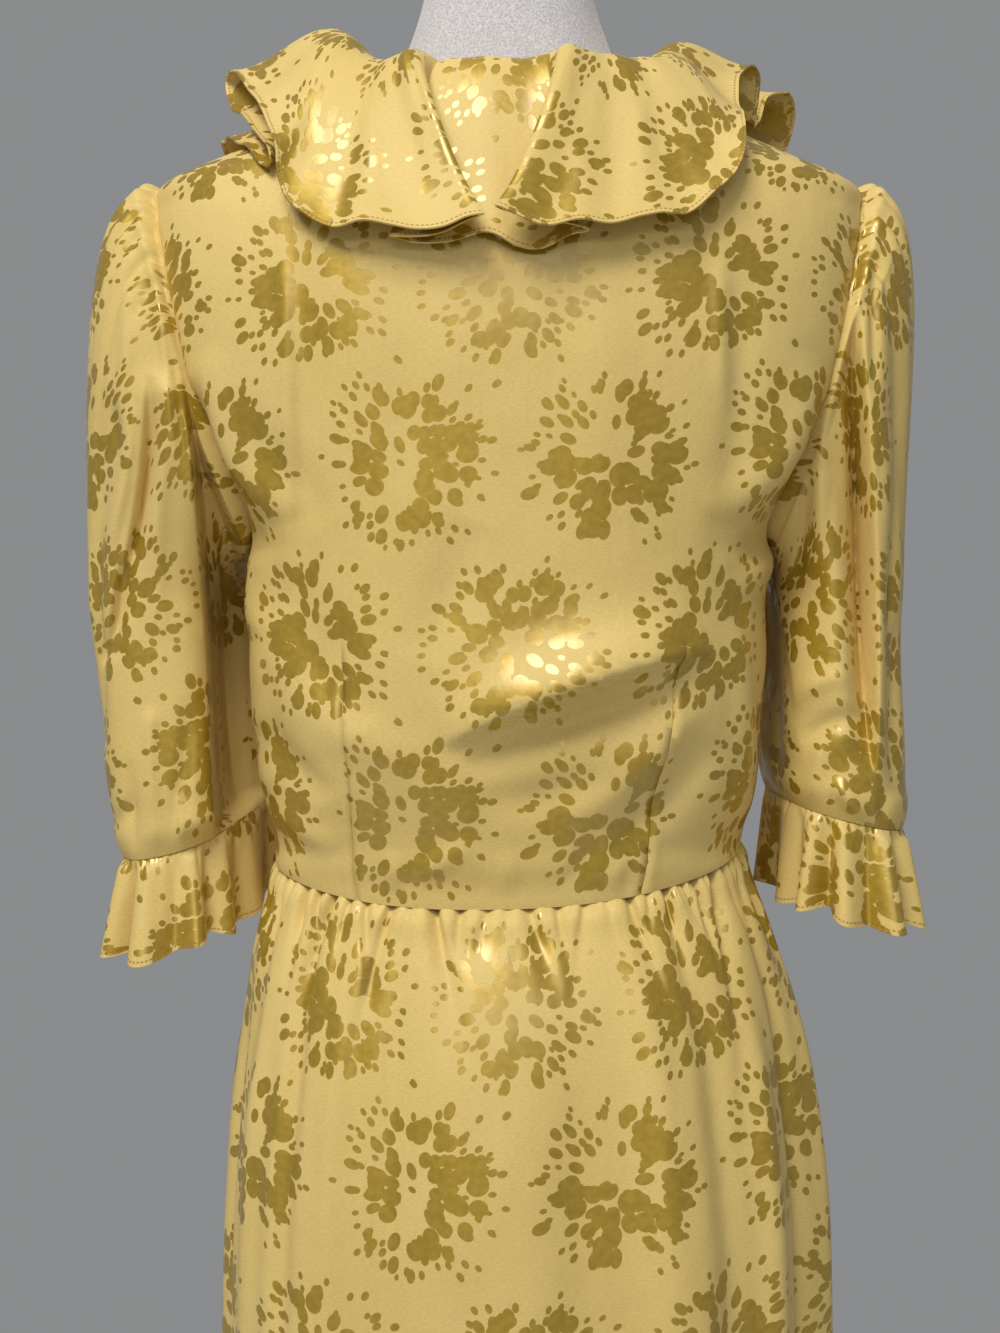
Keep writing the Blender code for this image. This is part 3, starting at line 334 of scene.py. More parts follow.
def cloth(name, grid, uv, edge=None, ring=False, side=1.0, thin=THIN, outside=0.0):
    """A thin closed shell through a grid of points. uv is the place on the cloth in metres, and
    edge the run along a hem and the distance from it."""
    rows, cols = grid.shape[:2]
    wide, size = uv.shape[1], rows * cols
    out = normals(grid, ring, side)
    outer = grid + out * outside
    inner = outer - out * (thin if np.ndim(thin) == 0 else thin[..., None])
    points = np.concatenate((outer.reshape(-1, 3), inner.reshape(-1, 3)))
    across = cols if ring else cols - 1
    i, j = cells(rows, across)
    front, front_places = squares(i, j, cols), squares(i, j, wide)
    faces, places = [front, front[:, ::-1] + size], [front_places, front_places[:, ::-1]]

    def rim(a, b, place_a, place_b, way):
        faces.append(np.stack((a, b, b + size, a + size), 1)[:, ::way])
        places.append(np.stack((place_a, place_b, place_b, place_a), 1)[:, ::way])

    j = np.arange(across)
    for row, way in ((0, 1), (rows - 1, -1)):
        rim(row * cols + j, row * cols + (j + 1) % cols, row * wide + j, row * wide + j + 1, way)
    i = np.arange(rows - 1)
    for col, way in () if ring else ((0, -1), (cols - 1, 1)):
        rim(i * cols + col, (i + 1) * cols + col, i * wide + col, (i + 1) * wide + col, way)
    faces, places = np.concatenate(faces), np.concatenate(places)
    data = bpy.data.meshes.new(name)
    data.from_pydata(points.tolist(), [], faces.tolist())
    for layer_name, values in (("cloth", uv), ("edge", edge)):
        if values is not None:
            layer = data.uv_layers.new(name=layer_name)
            layer.data.foreach_set("uv", values.reshape(-1, 2)[places].astype(np.float32).ravel())
    thing = place(name, data)
    mesh = bmesh.new()
    mesh.from_mesh(data)
    bmesh.ops.recalc_face_normals(mesh, faces=mesh.faces)
    mesh.to_mesh(data)
    mesh.free()
    data.shade_smooth()
    data.set_sharp_from_angle(angle=math.radians(SHARP_FOLD))
    return thing


def place(name, data):
    thing = bpy.data.objects.new(name, data)
    bpy.context.scene.collection.objects.link(thing)
    return thing


def cloth_map(base, ring=False, centre=0, shift=(0.0, 0.0)):
    """Places on the cloth for a grid: sideways from a column, and up from the first row."""
    if ring:
        base = np.concatenate((base, base[:, :1]), axis=1)
    u = lengths(base, 1)
    return np.stack((u - u[:, centre : centre + 1] + shift[0], lengths(base, 0) + shift[1]), -1)


# The bodice

WAIST_EASED = 0.35  # share of the way up to the first level row in which the seam's section turns to it


def waist_blend(t, degrees):
    """The rows between the waist seam and the first level one."""
    x, y = section(WAIST_WIDE, WAIST_BACK, WAIST_FRONT, SQUARE, degrees)
    seam = np.stack((x, y, waist_level(degrees) + SEAM / 2), -1)
    level = seam[..., 2] + (EVEN - seam[..., 2]) * t
    above = body(level, degrees)
    point = seam + (above - seam) * ease(t / WAIST_EASED)[..., None]
    point[..., 2] = level
    return point


def bodice_levels(steps_low, steps_arm, steps_top):
    """Row values: below 1 is the share of the way up to the first level row."""
    low = np.linspace(0, 1, steps_low, endpoint=False)
    side = np.linspace(EVEN, UNDERARM, SIDE_ROWS, endpoint=False)
    arm = UNDERARM + (SHOULDER_TIP - UNDERARM) * (1 - np.cos(np.linspace(0, math.pi, steps_arm))) / 2
    top = np.linspace(SHOULDER_TIP, NECK, steps_top + 1)[1:]
    return low, np.concatenate((side, arm, top))


def bodice_grid(low, levels, turns, side=1):
    """Points from the waist seam up, in a row of turns for each share of low and each level."""
    split = len(low)
    near = waist_blend(low[:, None] + 0 * turns[:split], side * turns[:split])
    return np.concatenate((near, body(levels[:, None] + 0 * turns[split:], side * turns[split:])))


def gap_at(level):
    """The degrees that half a seam's gap takes up."""
    shape = rows_at(BODICE, level)
    return np.degrees(SEAM / (shape[..., 0] + shape[..., 1]))


BACK_COLUMNS, SIDE_ROWS = 151, 24  # columns of the back, and rows from the level one to the underarm
# The darts: depth, place of the columns beside one as a share of a step, and columns moved for one
DART_DEPTH, DART_EDGE, DART_COLUMNS = 0.0011, 0.10, 12
# In pixels: the length over which a dart opens, the ridges beside it and the hollow at its tip
DART_LONG, DART_RISE_AT, DART_RISE_HALF, DART_HOLLOW_WIDE, DART_HOLLOW_HIGH = 260, 7, 5, 16, 26
DART_RISE, DART_HOLLOW = 0.0007, 0.0016
# The roll at the waist seam, and the cloth that falls over it: its line and reach in pixels
WAIST_ROLL, WAIST_ROLL_WIDE, BLOUSE = 0.0005, 0.0018, 0.0016
BLOUSE_Y, BLOUSE_HALF, BLOUSE_TOP, BLOUSE_START = 868, 16, 820, 40
BACK_FOLD_SCALE = 2.0
# The two darts behind: where each starts and ends in the picture, and how much cloth it takes in
BACK_DARTS = ((338, 640, 357, 900, 0.012), (684, 640, 642, 885, 0.013))
# Folds of the back, in the picture's pixels: x0, y0, x1, y1, bow, half width; then as in strokes
BACK_FOLDS = (
    (712, 648, 440, 746, -10, 24, 8.4, 0.75), (706, 676, 462, 768, -8, 15, -4, -0.5),
    (705, 690, 560, 820, 12, 22, 2.6, 0.2), (640, 770, 470, 806, 6, 20, -2.2),
    (720, 740, 610, 850, 6, 18, -2.6, 0.2), (300, 690, 420, 770, -8, 24, 1.8),
    (262, 720, 330, 800, -8, 16, -2.2), (270, 800, 340, 850, -4, 12, 1.6),
    (838, 396, 744, 565, 20, 14, -5.6, 0.4), (818, 366, 716, 520, 22, 18, 3.6, 0.2),
    (800, 470, 735, 600, 14, 13, 2.2), (193, 380, 262, 560, -22, 14, -5, -0.3),
    (205, 356, 288, 520, -20, 18, 3.4, -0.2), (206, 400, 330, 520, -6, 26, -1.7),
    (252, 540, 330, 760, -14, 22, 1.4), (282, 570, 366, 730, -10, 24, -1.8),
    (232, 520, 268, 640, -8, 12, 2), (283, 230, 288, 600, 4, 7, 1.3, 0.3),
    (302, 240, 300, 620, 6, 20, -1.5), (742, 250, 726, 560, 6, 18, -1.6),
    (470, 520, 420, 660, 8, 30, -1.8), (722, 240, 728, 420, -4, 9, 0.9), (402, 250, 400, 500, 6, 26, -1),
    (610, 260, 600, 520, -6, 30, 1), (260, 640, 268, 860, -4, 11, 1.8), (735, 620, 742, 840, 6, 11, 2),
    (415, 880, 480, 845, 4, 11, 1.2), (560, 884, 600, 838, -4, 10, -1), (505, 896, 512, 850, 0, 9, 0.8),
    (610, 892, 622, 850, 0, 8, 0.8), (392, 893, 396, 850, 0, 8, 0.9),
)


def bodice_back():
    low, levels = bodice_levels(40, 56, 20)
    even = np.linspace(-1, 1, BACK_COLUMNS)
    cut = np.concatenate((np.full(len(low), EVEN), levels))
    end = 90 - armhole_angle(cut) - gap_at(cut)
    px, py = picture(bodice_grid(low, levels, end[:, None] * even))
    # The columns nearest each dart move on to its line
    shares = np.repeat(even[None], len(cut), 0)
    darts = []
    for x0, y0, x1, y1, taken in BACK_DARTS:
        line = x0 + (x1 - x0) * np.clip((py - y0) / (y1 - y0), 0, 1.1)
        middle = int(np.argmin(np.abs(px - line).sum(0)[2:-2])) + 2
        at = np.array([np.interp(0.0, *order(px[r] - line[r], even)) for r in range(len(cut))])
        for offset in (-1, 0, 1):
            shares[:, middle + offset] = at + offset * DART_EDGE * (even[1] - even[0])
        for away in range(2, DART_COLUMNS):
            pull = 1 - (away - 1) / (DART_COLUMNS - 1)
            for c in (middle - away, middle + away):
                shares[:, c] += (at - even[middle]) * pull
        darts.append((middle, y0, taken))
    grid = bodice_grid(low, levels, end[:, None] * shares)
    px, py = picture(grid)
    uv = cloth_map(grid, centre=BACK_COLUMNS // 2)
    height = strokes(px, py, BACK_FOLDS) * BACK_FOLD_SCALE
    for middle, top, taken in darts:
        open_share = np.clip((py[:, middle] - top) / DART_LONG, 0, 1)
        height[:, middle] -= DART_DEPTH * ease(open_share * 12)
        away = np.abs(px - px[:, middle : middle + 1])
        height += DART_RISE * ease(open_share * 6)[:, None] * hill(away - DART_RISE_AT, DART_RISE_HALF)
        height -= DART_HOLLOW * hill(away, DART_HOLLOW_WIDE) * hill(py - top, DART_HOLLOW_HIGH)
        sign = -1 if middle < BACK_COLUMNS / 2 else 1
        outer = slice(0, middle) if sign < 0 else slice(middle + 1, None)
        uv[:, outer, 0] += sign * taken * open_share[:, None]
    height += seam_roll(grid, first=True, sides=False, depth=WAIST_ROLL, width=WAIST_ROLL_WIDE)
    height += seam_roll(grid)
    height += BLOUSE * hill(py - BLOUSE_Y, BLOUSE_HALF) * ease((py - BLOUSE_TOP) / BLOUSE_START)
    return cloth("satin_bodice_back", grid + normals(grid, False) * height[..., None], uv)


def order(x, y):
    """x and y sorted by x."""
    by = np.argsort(x)
    return x[by], y[by]


def seam_roll(grid, first=False, sides=True, depth=0.0010, width=0.0024):
    """How far the cloth turns in beside its seams."""
    down, over = lengths(grid, 0), lengths(grid, 1)
    edges = [down] if first else []
    if sides:
        edges += [over, over[:, -1:] - over]
    return -depth * sum(hill(away, width) for away in edges)


# Folds of a front, as for the back, but by degrees past the side and by level
FRONT_FOLDS = (
    (8, 1.33, 46, 1.23, 0.008, 0.01, 3, 0.2), (14, 1.29, 60, 1.185, 0.01, 0.009, -2.8),
    (4, 1.2, 50, 1.11, 0.006, 0.011, 3, 0.2), (10, 1.16, 64, 1.075, 0.005, 0.009, -2.4),
    (2, 1.11, 48, 1.062, 0.003, 0.008, 2), (22, 1.39, 50, 1.3, 0.004, 0.012, 1.6),
    (30, 1.025, 34, 1.062, 0, 0.004, 1.2, 0, 1), (52, 1.03, 49, 1.075, 0, 0.005, 1.4, 0, 1),
    (70, 1.032, 72, 1.068, 0, 0.004, 1.2, 0, 1),
)
DEGREE = 0.0024  # metres round the front for each degree
FRONT_SIDE_FADE, FRONT_EDGE_FADE = 0.02, 10  # metres, degrees
FRONT_COLUMNS, LEFT_FRONT_SHIFT, RIGHT_FRONT_SHIFT = 91, (0.31, 0.02), (0.05, 0.02)
# How the folds of the left front differ from the right one's, for each column: times and more
LEFT_CHANGES = ((1, 0), (1, -0.006), (0.94, 0), (1, 0.008), (1, 0), (1.1, 0), (0.9, 0), (1, 0), (1, 0))


def bodice_front(side):
    low, levels = bodice_levels(34, 46, 22)
    cut = np.concatenate((np.full(len(low), EVEN), levels))
    seam = waist_level(180 + neck_edge(np.array(NECK_EDGE[0, 0])))
    edge_level = np.concatenate((seam + (EVEN - seam) * low, levels))
    start = 90 + armhole_angle(cut, True) + gap_at(cut)
    end = 180 + neck_edge(edge_level)
    turns = start[:, None] + (end - start)[:, None] * np.linspace(0, 1, FRONT_COLUMNS)
    grid = bodice_grid(low, levels, turns, side)
    if side < 0:
        grid += outward(side * turns) * wrap_lift(edge_level[:, None], turns - 90)[..., None]
    uv = cloth_map(grid, shift=LEFT_FRONT_SHIFT if side > 0 else RIGHT_FRONT_SHIFT)
    uv[..., 0] *= side
    x = (turns - 90) * DEGREE
    folds = []
    for turn0, level0, turn1, level1, *rest in FRONT_FOLDS:
        folds.append((turn0 * DEGREE, level0, turn1 * DEGREE, level1, *rest))
    if side > 0:
        folds = [[value * times + more for value, (times, more) in zip(row, LEFT_CHANGES)] for row in folds]
    height = strokes(x, grid[..., 2], folds) * ease(x / FRONT_SIDE_FADE)
    height *= ease((end[:, None] - turns) / FRONT_EDGE_FADE)
    height += seam_roll(grid, first=True)
    name = "satin_bodice_front_" + ("left" if side > 0 else "right")
    return cloth(name, grid + normals(grid, False, side) * height[..., None], uv, side=side)


# Gathers of the skirt at the waist seam: degrees round, half width in mm, depth in mm, length in mm
GATHERS_BACK = (
    (-86, 2.6, 2.4, 26), (-80.5, 2, 1.8, 18), (-76, 2.9, 3.2, 42), (-70, 2.2, 2.2, 24),
    (-65.5, 1.8, 1.8, 16), (-60, 2.6, 3, 36), (-54, 3, 3.4, 52), (-47, 2.2, 2.4, 26), (-42.5, 2, 2, 18),
    (-37, 2.4, 2.6, 34), (-31, 1.9, 1.8, 17), (-26, 2.4, 2.4, 30), (-20, 1.9, 1.7, 15),
    (-14.5, 2.5, 2.6, 26), (-8.5, 2, 1.8, 17), (-3, 2.3, 2, 22), (3.5, 1.9, 1.8, 15), (9, 2.2, 2, 20),
    (14.5, 2.5, 2.6, 32), (20.5, 2, 2, 17), (26, 2.9, 3.2, 50), (33, 2.4, 2.6, 28), (38, 2, 2, 18),
    (43.5, 2.8, 3, 44), (50, 2.2, 2.4, 24), (55.5, 2.6, 2.6, 32), (61.5, 2, 2, 18), (67, 2.7, 3, 40),
    (73, 2.1, 2.2, 22), (78.5, 2.6, 2.6, 30), (84.5, 2.2, 2.2, 22),
)
# Gathers: depth for each millimetre, and how width, length, slant and lean grow or differ
GATHER_SCALE, GATHER_POWER, GATHER_NARROW, GATHER_WIDENS, GATHER_LONG = 0.50e-3, 2.3, 0.8e-3, 0.03, 1.15e-3
GATHER_SLANT, GATHER_LEAN, GATHER_DEPTH = (12.9, 0.22), (7.3, 0.45), (5.7, 0.25, 1)
# Tucks between the gathers: number, and rate, swing and middle of their places and sizes
SMALL_TUCKS, TUCK_PLACE, TUCK_SLANT, TUCK_WIDENS = 150, (4.7, 0.8), (9.1, 0.3), 0.02
TUCK_HALF, TUCK_LONG, TUCK_DEPTH = (3.1, 0.3e-3, 0.9e-3), (2.9, 0.005, 0.008), (6.1, 0.7e-3, 1e-3)
FADE = 1.5  # power with which gathers die away
# The soft folds down the skirt: metres for each mm, widths at the waist and below, loss of height
SKIRT_FOLD_SCALE, FOLD_NARROW, FOLD_WIDENS, FOLD_FLATTENS = 1.8e-3, 0.6, 1.2, 0.35
SKIRT_COLUMNS_BACK, SKIRT_COLUMNS_FRONT, SKIRT_ROWS = 401, 191, 76
# How rows crowd under the waist, where the cloth's width is taken, the share of the wave that is used
SKIRT_CROWDED, HIP_DROP, SKIRT_WAVE_SHARE = 1.5, 0.17, 0.8
SKIRT_WRAP_LIFT, SKIRT_LIFT_START, SKIRT_LIFT_RUN = WRAP_LIFT * 1.15, 105, 40
# The puff and the roll under the waist seam: height, drop, reach; and how the top row tucks in
SKIRT_PUFF, SKIRT_ROLL, TOP_IN, TOP_UP = (0.0016, 0.007, 0.006), (-0.0006, 0, 0.0020), 0.0020, 0.0030
# Soft folds down the skirt: degrees round, half width in mm, height in mm, start and end of the drop
SKIRT_FOLDS = (
    (62, 15, 4.2, 0.01, 0.62), (47, 11, -3.6, 0, 0.5), (35, 13, 2.6, 0.03, 0.42), (22, 12, -2.4, 0, 0.3),
    (10, 15, 1.8, 0.02, 0.56), (-8, 16, -2, 0.04, 0.6), (-24, 14, 2.4, 0.01, 0.36),
    (-38, 13, -2.8, 0, 0.55), (-52, 14, 3.8, 0.02, 0.66), (-66, 10, -3.4, 0.01, 0.6),
    (-78, 12, 3, 0.02, 0.6), (77, 12, -3.6, 0.02, 0.66), (98, 13, 3.2, 0.02, 0.6),
    (112, 15, -3.2, 0.01, 0.62), (127, 13, 3.6, 0, 0.52), (152, 15, -2.8, 0.02, 0.62),
    (170, 17, 3, 0.01, 0.5), (186, 14, -3, 0, 0.64), (203, 16, 3.4, 0.02, 0.58), (221, 13, -3.2, 0, 0.5),
    (236, 15, 3.6, 0.01, 0.64), (251, 13, -3, 0.02, 0.62),
)


def gathers_round():
    """The gathers behind, and their like on the hidden front in another order and size."""
    rows = list(GATHERS_BACK)
    for n, row in enumerate(GATHERS_BACK):
        other = GATHERS_BACK[(n * 7 + 3) % len(GATHERS_BACK)]
        rows.append((180 - row[0] * 1.02, *other[1:]))
    return rows


def skirt_height(turns, drop, radius):
    """Gathers and soft folds of the skirt, in metres."""
    height = np.zeros_like(drop)
    for turn, width, depth, length in gathers_round():
        away = past(turns, turn) * radius - uneven(turn, *GATHER_SLANT) * drop
        lean = uneven(turn, *GATHER_LEAN)
        spread = width * GATHER_NARROW * (1 + drop / GATHER_WIDENS) * np.where(away > 0, 1 - lean, 1 + lean)
        deep = GATHER_SCALE * (depth * uneven(turn, *GATHER_DEPTH)) ** GATHER_POWER
        height -= deep * hill(away, spread) * hill(drop, length * GATHER_LONG, FADE)
    for n in range(SMALL_TUCKS):
        turn = 360 / SMALL_TUCKS * (n + uneven(n, *TUCK_PLACE))
        away = past(turns, turn) * radius - uneven(n, *TUCK_SLANT) * drop
        spread = uneven(n, *TUCK_HALF) * (1 + drop / TUCK_WIDENS)
        height -= uneven(n, *TUCK_DEPTH) * hill(away, spread) * hill(drop, uneven(n, *TUCK_LONG), FADE)
    for turn, width, rise, start, end in SKIRT_FOLDS:
        spread = width / 1000 * (FOLD_NARROW + FOLD_WIDENS * drop)
        down = np.clip((drop - start) / (end - start), 0, 1)
        fade = ease(down * 5) * (1 - FOLD_FLATTENS * down) * ease((1 - down) * 4 + 0.55)
        height += rise * SKIRT_FOLD_SCALE * fade * hill(past(turns, turn) * radius, spread)
    return height


def skirt_surface(turns, drop):
    """Points of the smooth skirt, the wave that lies on it, and metres round it for each degree."""
    wide, back, front, slide, soft = columns_at(SKIRT, drop)
    x, y = section(wide, back, front, SQUARE, turns)
    angle = np.radians(turns)
    wave = soft * (np.sin(9 * angle + 0.7) + 0.6 * np.sin(14 * angle + 2.0 + 2 * drop))
    return np.stack((x + slide, y, waist_level(turns) - drop), -1), wave, math.radians(1) * (wide + back) / 2


def skirt_panel(name, start, end, columns, shift, lift=None):
    turns = np.linspace(start, end, columns)[None, :] + np.zeros((SKIRT_ROWS, 1))
    fall = waist_level(turns) - HEM
    share = np.linspace(1, 0, SKIRT_ROWS)[:, None] ** SKIRT_CROWDED
    drop = SEAM / 2 + (fall - SEAM / 2) * share
    base, wave, radius = skirt_surface(turns, drop)
    way = outward(turns)
    height = wave * SKIRT_WAVE_SHARE + skirt_height(turns, drop, radius)
    for rise, at, reach in (SKIRT_PUFF, SKIRT_ROLL):
        height += rise * hill(drop - at, reach)
    if lift is not None:
        height += lift(turns)
    grid = base + way * height[..., None]
    grid[-1] -= way[-1] * TOP_IN
    grid[-1, :, 2] += TOP_UP
    grid[:, [0, -1]] -= way[:, [0, -1]] * SIDE_SEAM_DIP
    hips = int(np.argmin(np.abs(drop[:, 0] - HIP_DROP)))
    over = lengths(base, 1)
    u = np.repeat(over[hips : hips + 1], SKIRT_ROWS, 0)
    u = u - u[:, columns // 2 : columns // 2 + 1]
    uv = np.stack((u + shift[0], -drop + shift[1]), -1)
    return cloth(name, grid, uv, np.stack((over, fall - drop), -1))


# The side seams: half their opening, and how far their edges turn in
SIDE_SEAM_GAP, SIDE_SEAM_DIP = 0.00004, 0.0007


def skirt():
    gap = math.degrees(SIDE_SEAM_GAP / WAIST_WIDE)
    crossing = 180 + float(angle_at(np.array(SKIRT_CROSSING), WAIST_WIDE, SQUARE))
    side = 90 + gap

    def lift(degrees):
        return SKIRT_WRAP_LIFT * ease((-degrees - SKIRT_LIFT_START) / SKIRT_LIFT_RUN)

    return (
        skirt_panel("satin_skirt_back", gap - 90, 90 - gap, SKIRT_COLUMNS_BACK, (0.0, 0.0)),
        skirt_panel("satin_skirt_front_left", side, crossing, SKIRT_COLUMNS_FRONT, (0.03, 0.04)),
        skirt_panel("satin_skirt_front_right", -crossing, -side, SKIRT_COLUMNS_FRONT, (0.07, 0.0), lift),
    )


# The sleeves and their cuffs

SLEEVE_COLUMNS_BACK, SLEEVE_COLUMNS_FRONT, HEAD_ROWS, HEAD_CROWDED, TUBE_ROWS = 158, 78, 84, 1.25, 44
SLEEVE_SHIFT = {"left": (0.01, 0.0), "right": (0.03, 0.02)}
SLEEVE_FOLD_SCALE = 1.5
# The way in which folds rise: shares sideways and, at the head, upward; how gathers widen down it
OUT_SIDEWAYS, OUT_UPWARD, HEAD_NARROW, HEAD_WIDENS = 0.6, 0.8, 0.55, 1.1
# The steps over which folds begin below the head, and what is left of them at the cuff seam
ALIVE_HEAD, ALIVE_CUFF = 0.16, 0.15
SWELL_TURN, SWELL_HALF = 208, 30
# The way in which a sleeve leaves the armhole, and how that changes round it; how far it reaches
# that way at the side, the tip and the underarm, and how steeply it falls at the end of the head
LEAVE, LEAVE_TURN = np.array((0.80, 0.0, -0.12)), np.array((0.13, 0.50, 0.48))
LEAVE_SIDE, LEAVE_TIP, LEAVE_UNDER = 0.045, 0.115, -0.015
FALL_SIDE, FALL_TIP, FALL_UNDER = 0.12, 0.08, 0.09
# The puff below the head: height, step and reach; and the seam allowance that turns in under it
PUFF, PUFF_STEP, PUFF_REACH, ALLOWANCE = 0.0030, 0.055, 0.045, (0.0085, 0.0025)
# The rolls at the armhole and the cuff seam, and the puff over it: height, distance and reach
ARM_ROLL, WRIST_ROLL, WRIST_PUFF = (-0.0009, 0, 0.0022), (-0.0010, 0, 0.0024), (0.0018, 0.012, 0.008)


def armhole_start(side_turns):
    """Points of the armhole's edge on the wearer's left, by turn: 0 is the tip, 180 the underarm."""
    share = np.linspace(0, 1, 400)
    levels = UNDERARM + (SHOULDER_TIP - UNDERARM) * (1 + np.cos(share * math.pi)) / 2
    behind = body(levels, 90 - armhole_angle(levels))
    before = body(levels, 90 + armhole_angle(levels, True))
    found = []
    for turn in side_turns:
        half = behind if turn <= 180 else before
        run = lengths(half[:, None], 0)[:, 0]
        at = min(turn, 360 - turn) / 180 * run[-1]
        found.append([np.interp(at, run, half[:, c]) for c in range(3)])
    return np.array(found)


def tube(side, level, turn):
    """Points of the sleeve below its head, and the turn's shares across and deep."""
    outer, inner, back, front = columns_at(SLEEVE[side], level)
    across, deep = (power(value, 2 / SLEEVE_SQUARE) for value in turned(turn))
    y = deep * (back - front) / 2
    x = (outer + inner) / 2 + across * (outer - inner) / 2 + SLEEVE_SKEW[side] * y
    x = x - INNER_SWELL[side] * hill(turn % 360 - SWELL_TURN, SWELL_HALF)
    return np.stack(np.broadcast_arrays(x, (back + front) / 2 + y, level), -1), across, deep


def leaving(c, s):
    """The way in which the sleeve leaves the armhole."""
    return LEAVE + LEAVE_TURN * np.stack((c, s, c), -1)


def sleeve_points(side, start, turn, step):
    """Points of the sleeve on a grid of steps and turns: the head to step 1, the rest to step 2."""
    c, s = turned(turn)
    leave = leaving(c, s)
    root = start + leave * SEAM * 1.5
    reach = LEAVE_SIDE + LEAVE_TIP * np.maximum(c, 0) ** 1.5 + LEAVE_UNDER * np.maximum(-c, 0)
    leave = unit(leave) * reach[..., None]
    fall = np.zeros_like(leave)
    fall[..., 2] = -(FALL_SIDE + np.where(c > 0, FALL_TIP, FALL_UNDER) * c)
    target, across, deep = tube(side, np.full_like(turn, SLEEVE_TOP), turn)
    head = hermite(np.minimum(step, 1)[..., None], root, leave, target, fall)
    middle, tilt_x, tilt_y = CUFF_LEVEL[side]
    seam = middle + tilt_x * across + tilt_y * deep
    more = np.maximum(step - 1, 0)
    hang = tube(side, SLEEVE_TOP + (SLEEVE[side][0, 0] - SLEEVE_TOP) * more, turn)[0]
    hang[..., 2] = SLEEVE_TOP + (seam - SLEEVE_TOP) * more
    return np.where((step <= 1)[..., None], head, hang)


def long_fold(side, turn, step):
    """The depth of the one fold that runs down the whole sleeve."""
    top, foot, begins, ends, deep, half = SLEEVE_FOLDS[side]
    along = np.clip((step / 2 - begins) / (ends - begins), 0, 1)
    away = past(turn, top + (foot - top) * along)
    return deep * np.sin(math.pi * along) ** 0.6 * hill(away, half)


# Main gathers of a sleeve's head: turn, half width in degrees, depth in mm, length along the sleeve
HEAD_GATHERS = (
    (-62, 3.8, 2.6, 0.16), (-49, 3.4, 3.8, 0.28), (-37, 3, 3, 0.2), (-27, 3.2, 4.4, 0.36),
    (-17, 2.6, 3.2, 0.22), (-8, 2.6, 4, 0.3), (1, 2.4, 3.4, 0.2), (10, 2.6, 4.8, 0.42),
    (19, 2.4, 3.4, 0.24), (28, 2.8, 4.8, 0.38), (38, 2.6, 3.4, 0.22), (48, 3.2, 4, 0.34),
    (60, 3.8, 2.8, 0.2),
)
# Small gathers between them, which stay close to the seam: rate, swing and middle of place, half
# width, depth and length
SMALL_GATHERS, SMALL_FIRST, SMALL_STEP, SMALL_PLACE = 30, -66, 4.6, (2.3, 1.3)
SMALL_SIZES = ((1.7, 0.4, 1.7), (4.1, 0.8, 1.9), (3.3, 0.035, 0.07))


def head_gathers():
    rows = list(HEAD_GATHERS)
    for n in range(SMALL_GATHERS):
        at = SMALL_FIRST + SMALL_STEP * n + uneven(n, *SMALL_PLACE)
        rows.append((at, *(uneven(n, *size) for size in SMALL_SIZES)))
    return rows


# Folds of the sleeves as they show in the picture, in pixels, and round their hidden side by turn
# and level
SLEEVE_STROKES = {
    "left": (
        (184, 396, 213, 850, 5, 22, 6.2, 0.84, 2), (194, 404, 223, 850, 5, 30, -11, -0.84, 2),
        (228, 500, 242, 850, 0, 20, -7.5, 0, 2), (256, 556, 206, 640, 0, 5, 2, 0.5),
        (222, 640, 236, 800, 2, 6, -2.2), (150, 376, 121, 588, 8, 8, -7, -0.55),
        (160, 376, 131, 588, 8, 10, 2.4, -0.2), (122, 560, 103, 664, 2, 8, -5.2, -0.5),
        (132, 400, 104, 560, 8, 8, 2.6, 0.2), (112, 390, 116, 460, 2, 5, -1.4),
        (168, 430, 160, 640, -6, 11, 2.2), (178, 330, 190, 480, -4, 7, -3), (160, 260, 170, 380, -3, 6, 2),
        (128, 280, 118, 420, 4, 8, 1.8), (190, 700, 168, 856, 4, 9, -1.8),
        (150, 720, 158, 862, -3, 8, 1.6, 0, 1), (130, 760, 136, 866, 0, 6, -1.6),
        (180, 800, 184, 858, 0, 5, 1.2, 0, 1), (110, 830, 135, 800, 0, 7, -1.4),
    ),
    "right": (
        (852, 300, 871, 775, 4, 17, -8, 0.74), (855, 300, 873, 775, 4, 7, -8, 0.6),
        (859, 300, 879, 775, 4, 16, 3.4, -0.84), (768, 556, 796, 714, 4, 14, 3.6, -0.8),
        (752, 530, 780, 790, 4, 18, -10, 0.6), (826, 470, 846, 760, 4, 16, 3.4, 0.2),
        (800, 742, 865, 716, 6, 11, -3), (792, 700, 850, 676, 6, 10, 2), (806, 470, 790, 600, 6, 8, -2.6),
        (781, 620, 779, 730, 2, 6, -1.6), (822, 420, 812, 560, 4, 9, 2.2),
        (842, 790, 866, 836, 2, 10, 3, 0, 1), (885, 420, 888, 640, 2, 8, 2),
        (893, 600, 888, 780, 2, 7, -2.2), (876, 250, 872, 400, 0, 6, -2), (820, 740, 812, 806, 0, 7, 1.4),
        (884, 790, 880, 826, 0, 6, -1.4),
    ),
}
SLEEVE_HIDDEN = (
    (200, 1.18, 226, 1.08, 6, 9, 3), (228, 1.23, 250, 1.1, -6, 8, -3.6, 0.2),
    (248, 1.26, 262, 1.13, 4, 9, 3), (274, 1.3, 282, 1.12, 5, 8, -3.6), (292, 1.27, 300, 1.09, -4, 9, 3),
    (316, 1.25, 306, 1.08, 4, 8, -2.6), (262, 1.11, 268, 1.045, 0, 7, 1.8, 0, 1),
    (300, 1.1, 296, 1.04, 0, 7, -1.8, 0, 1), (236, 1.09, 230, 1.045, 0, 7, -1.6, 0, 1),
)
LEVEL_SCALE = 700.0  # degrees for each metre, so that a fold is measured alike both ways
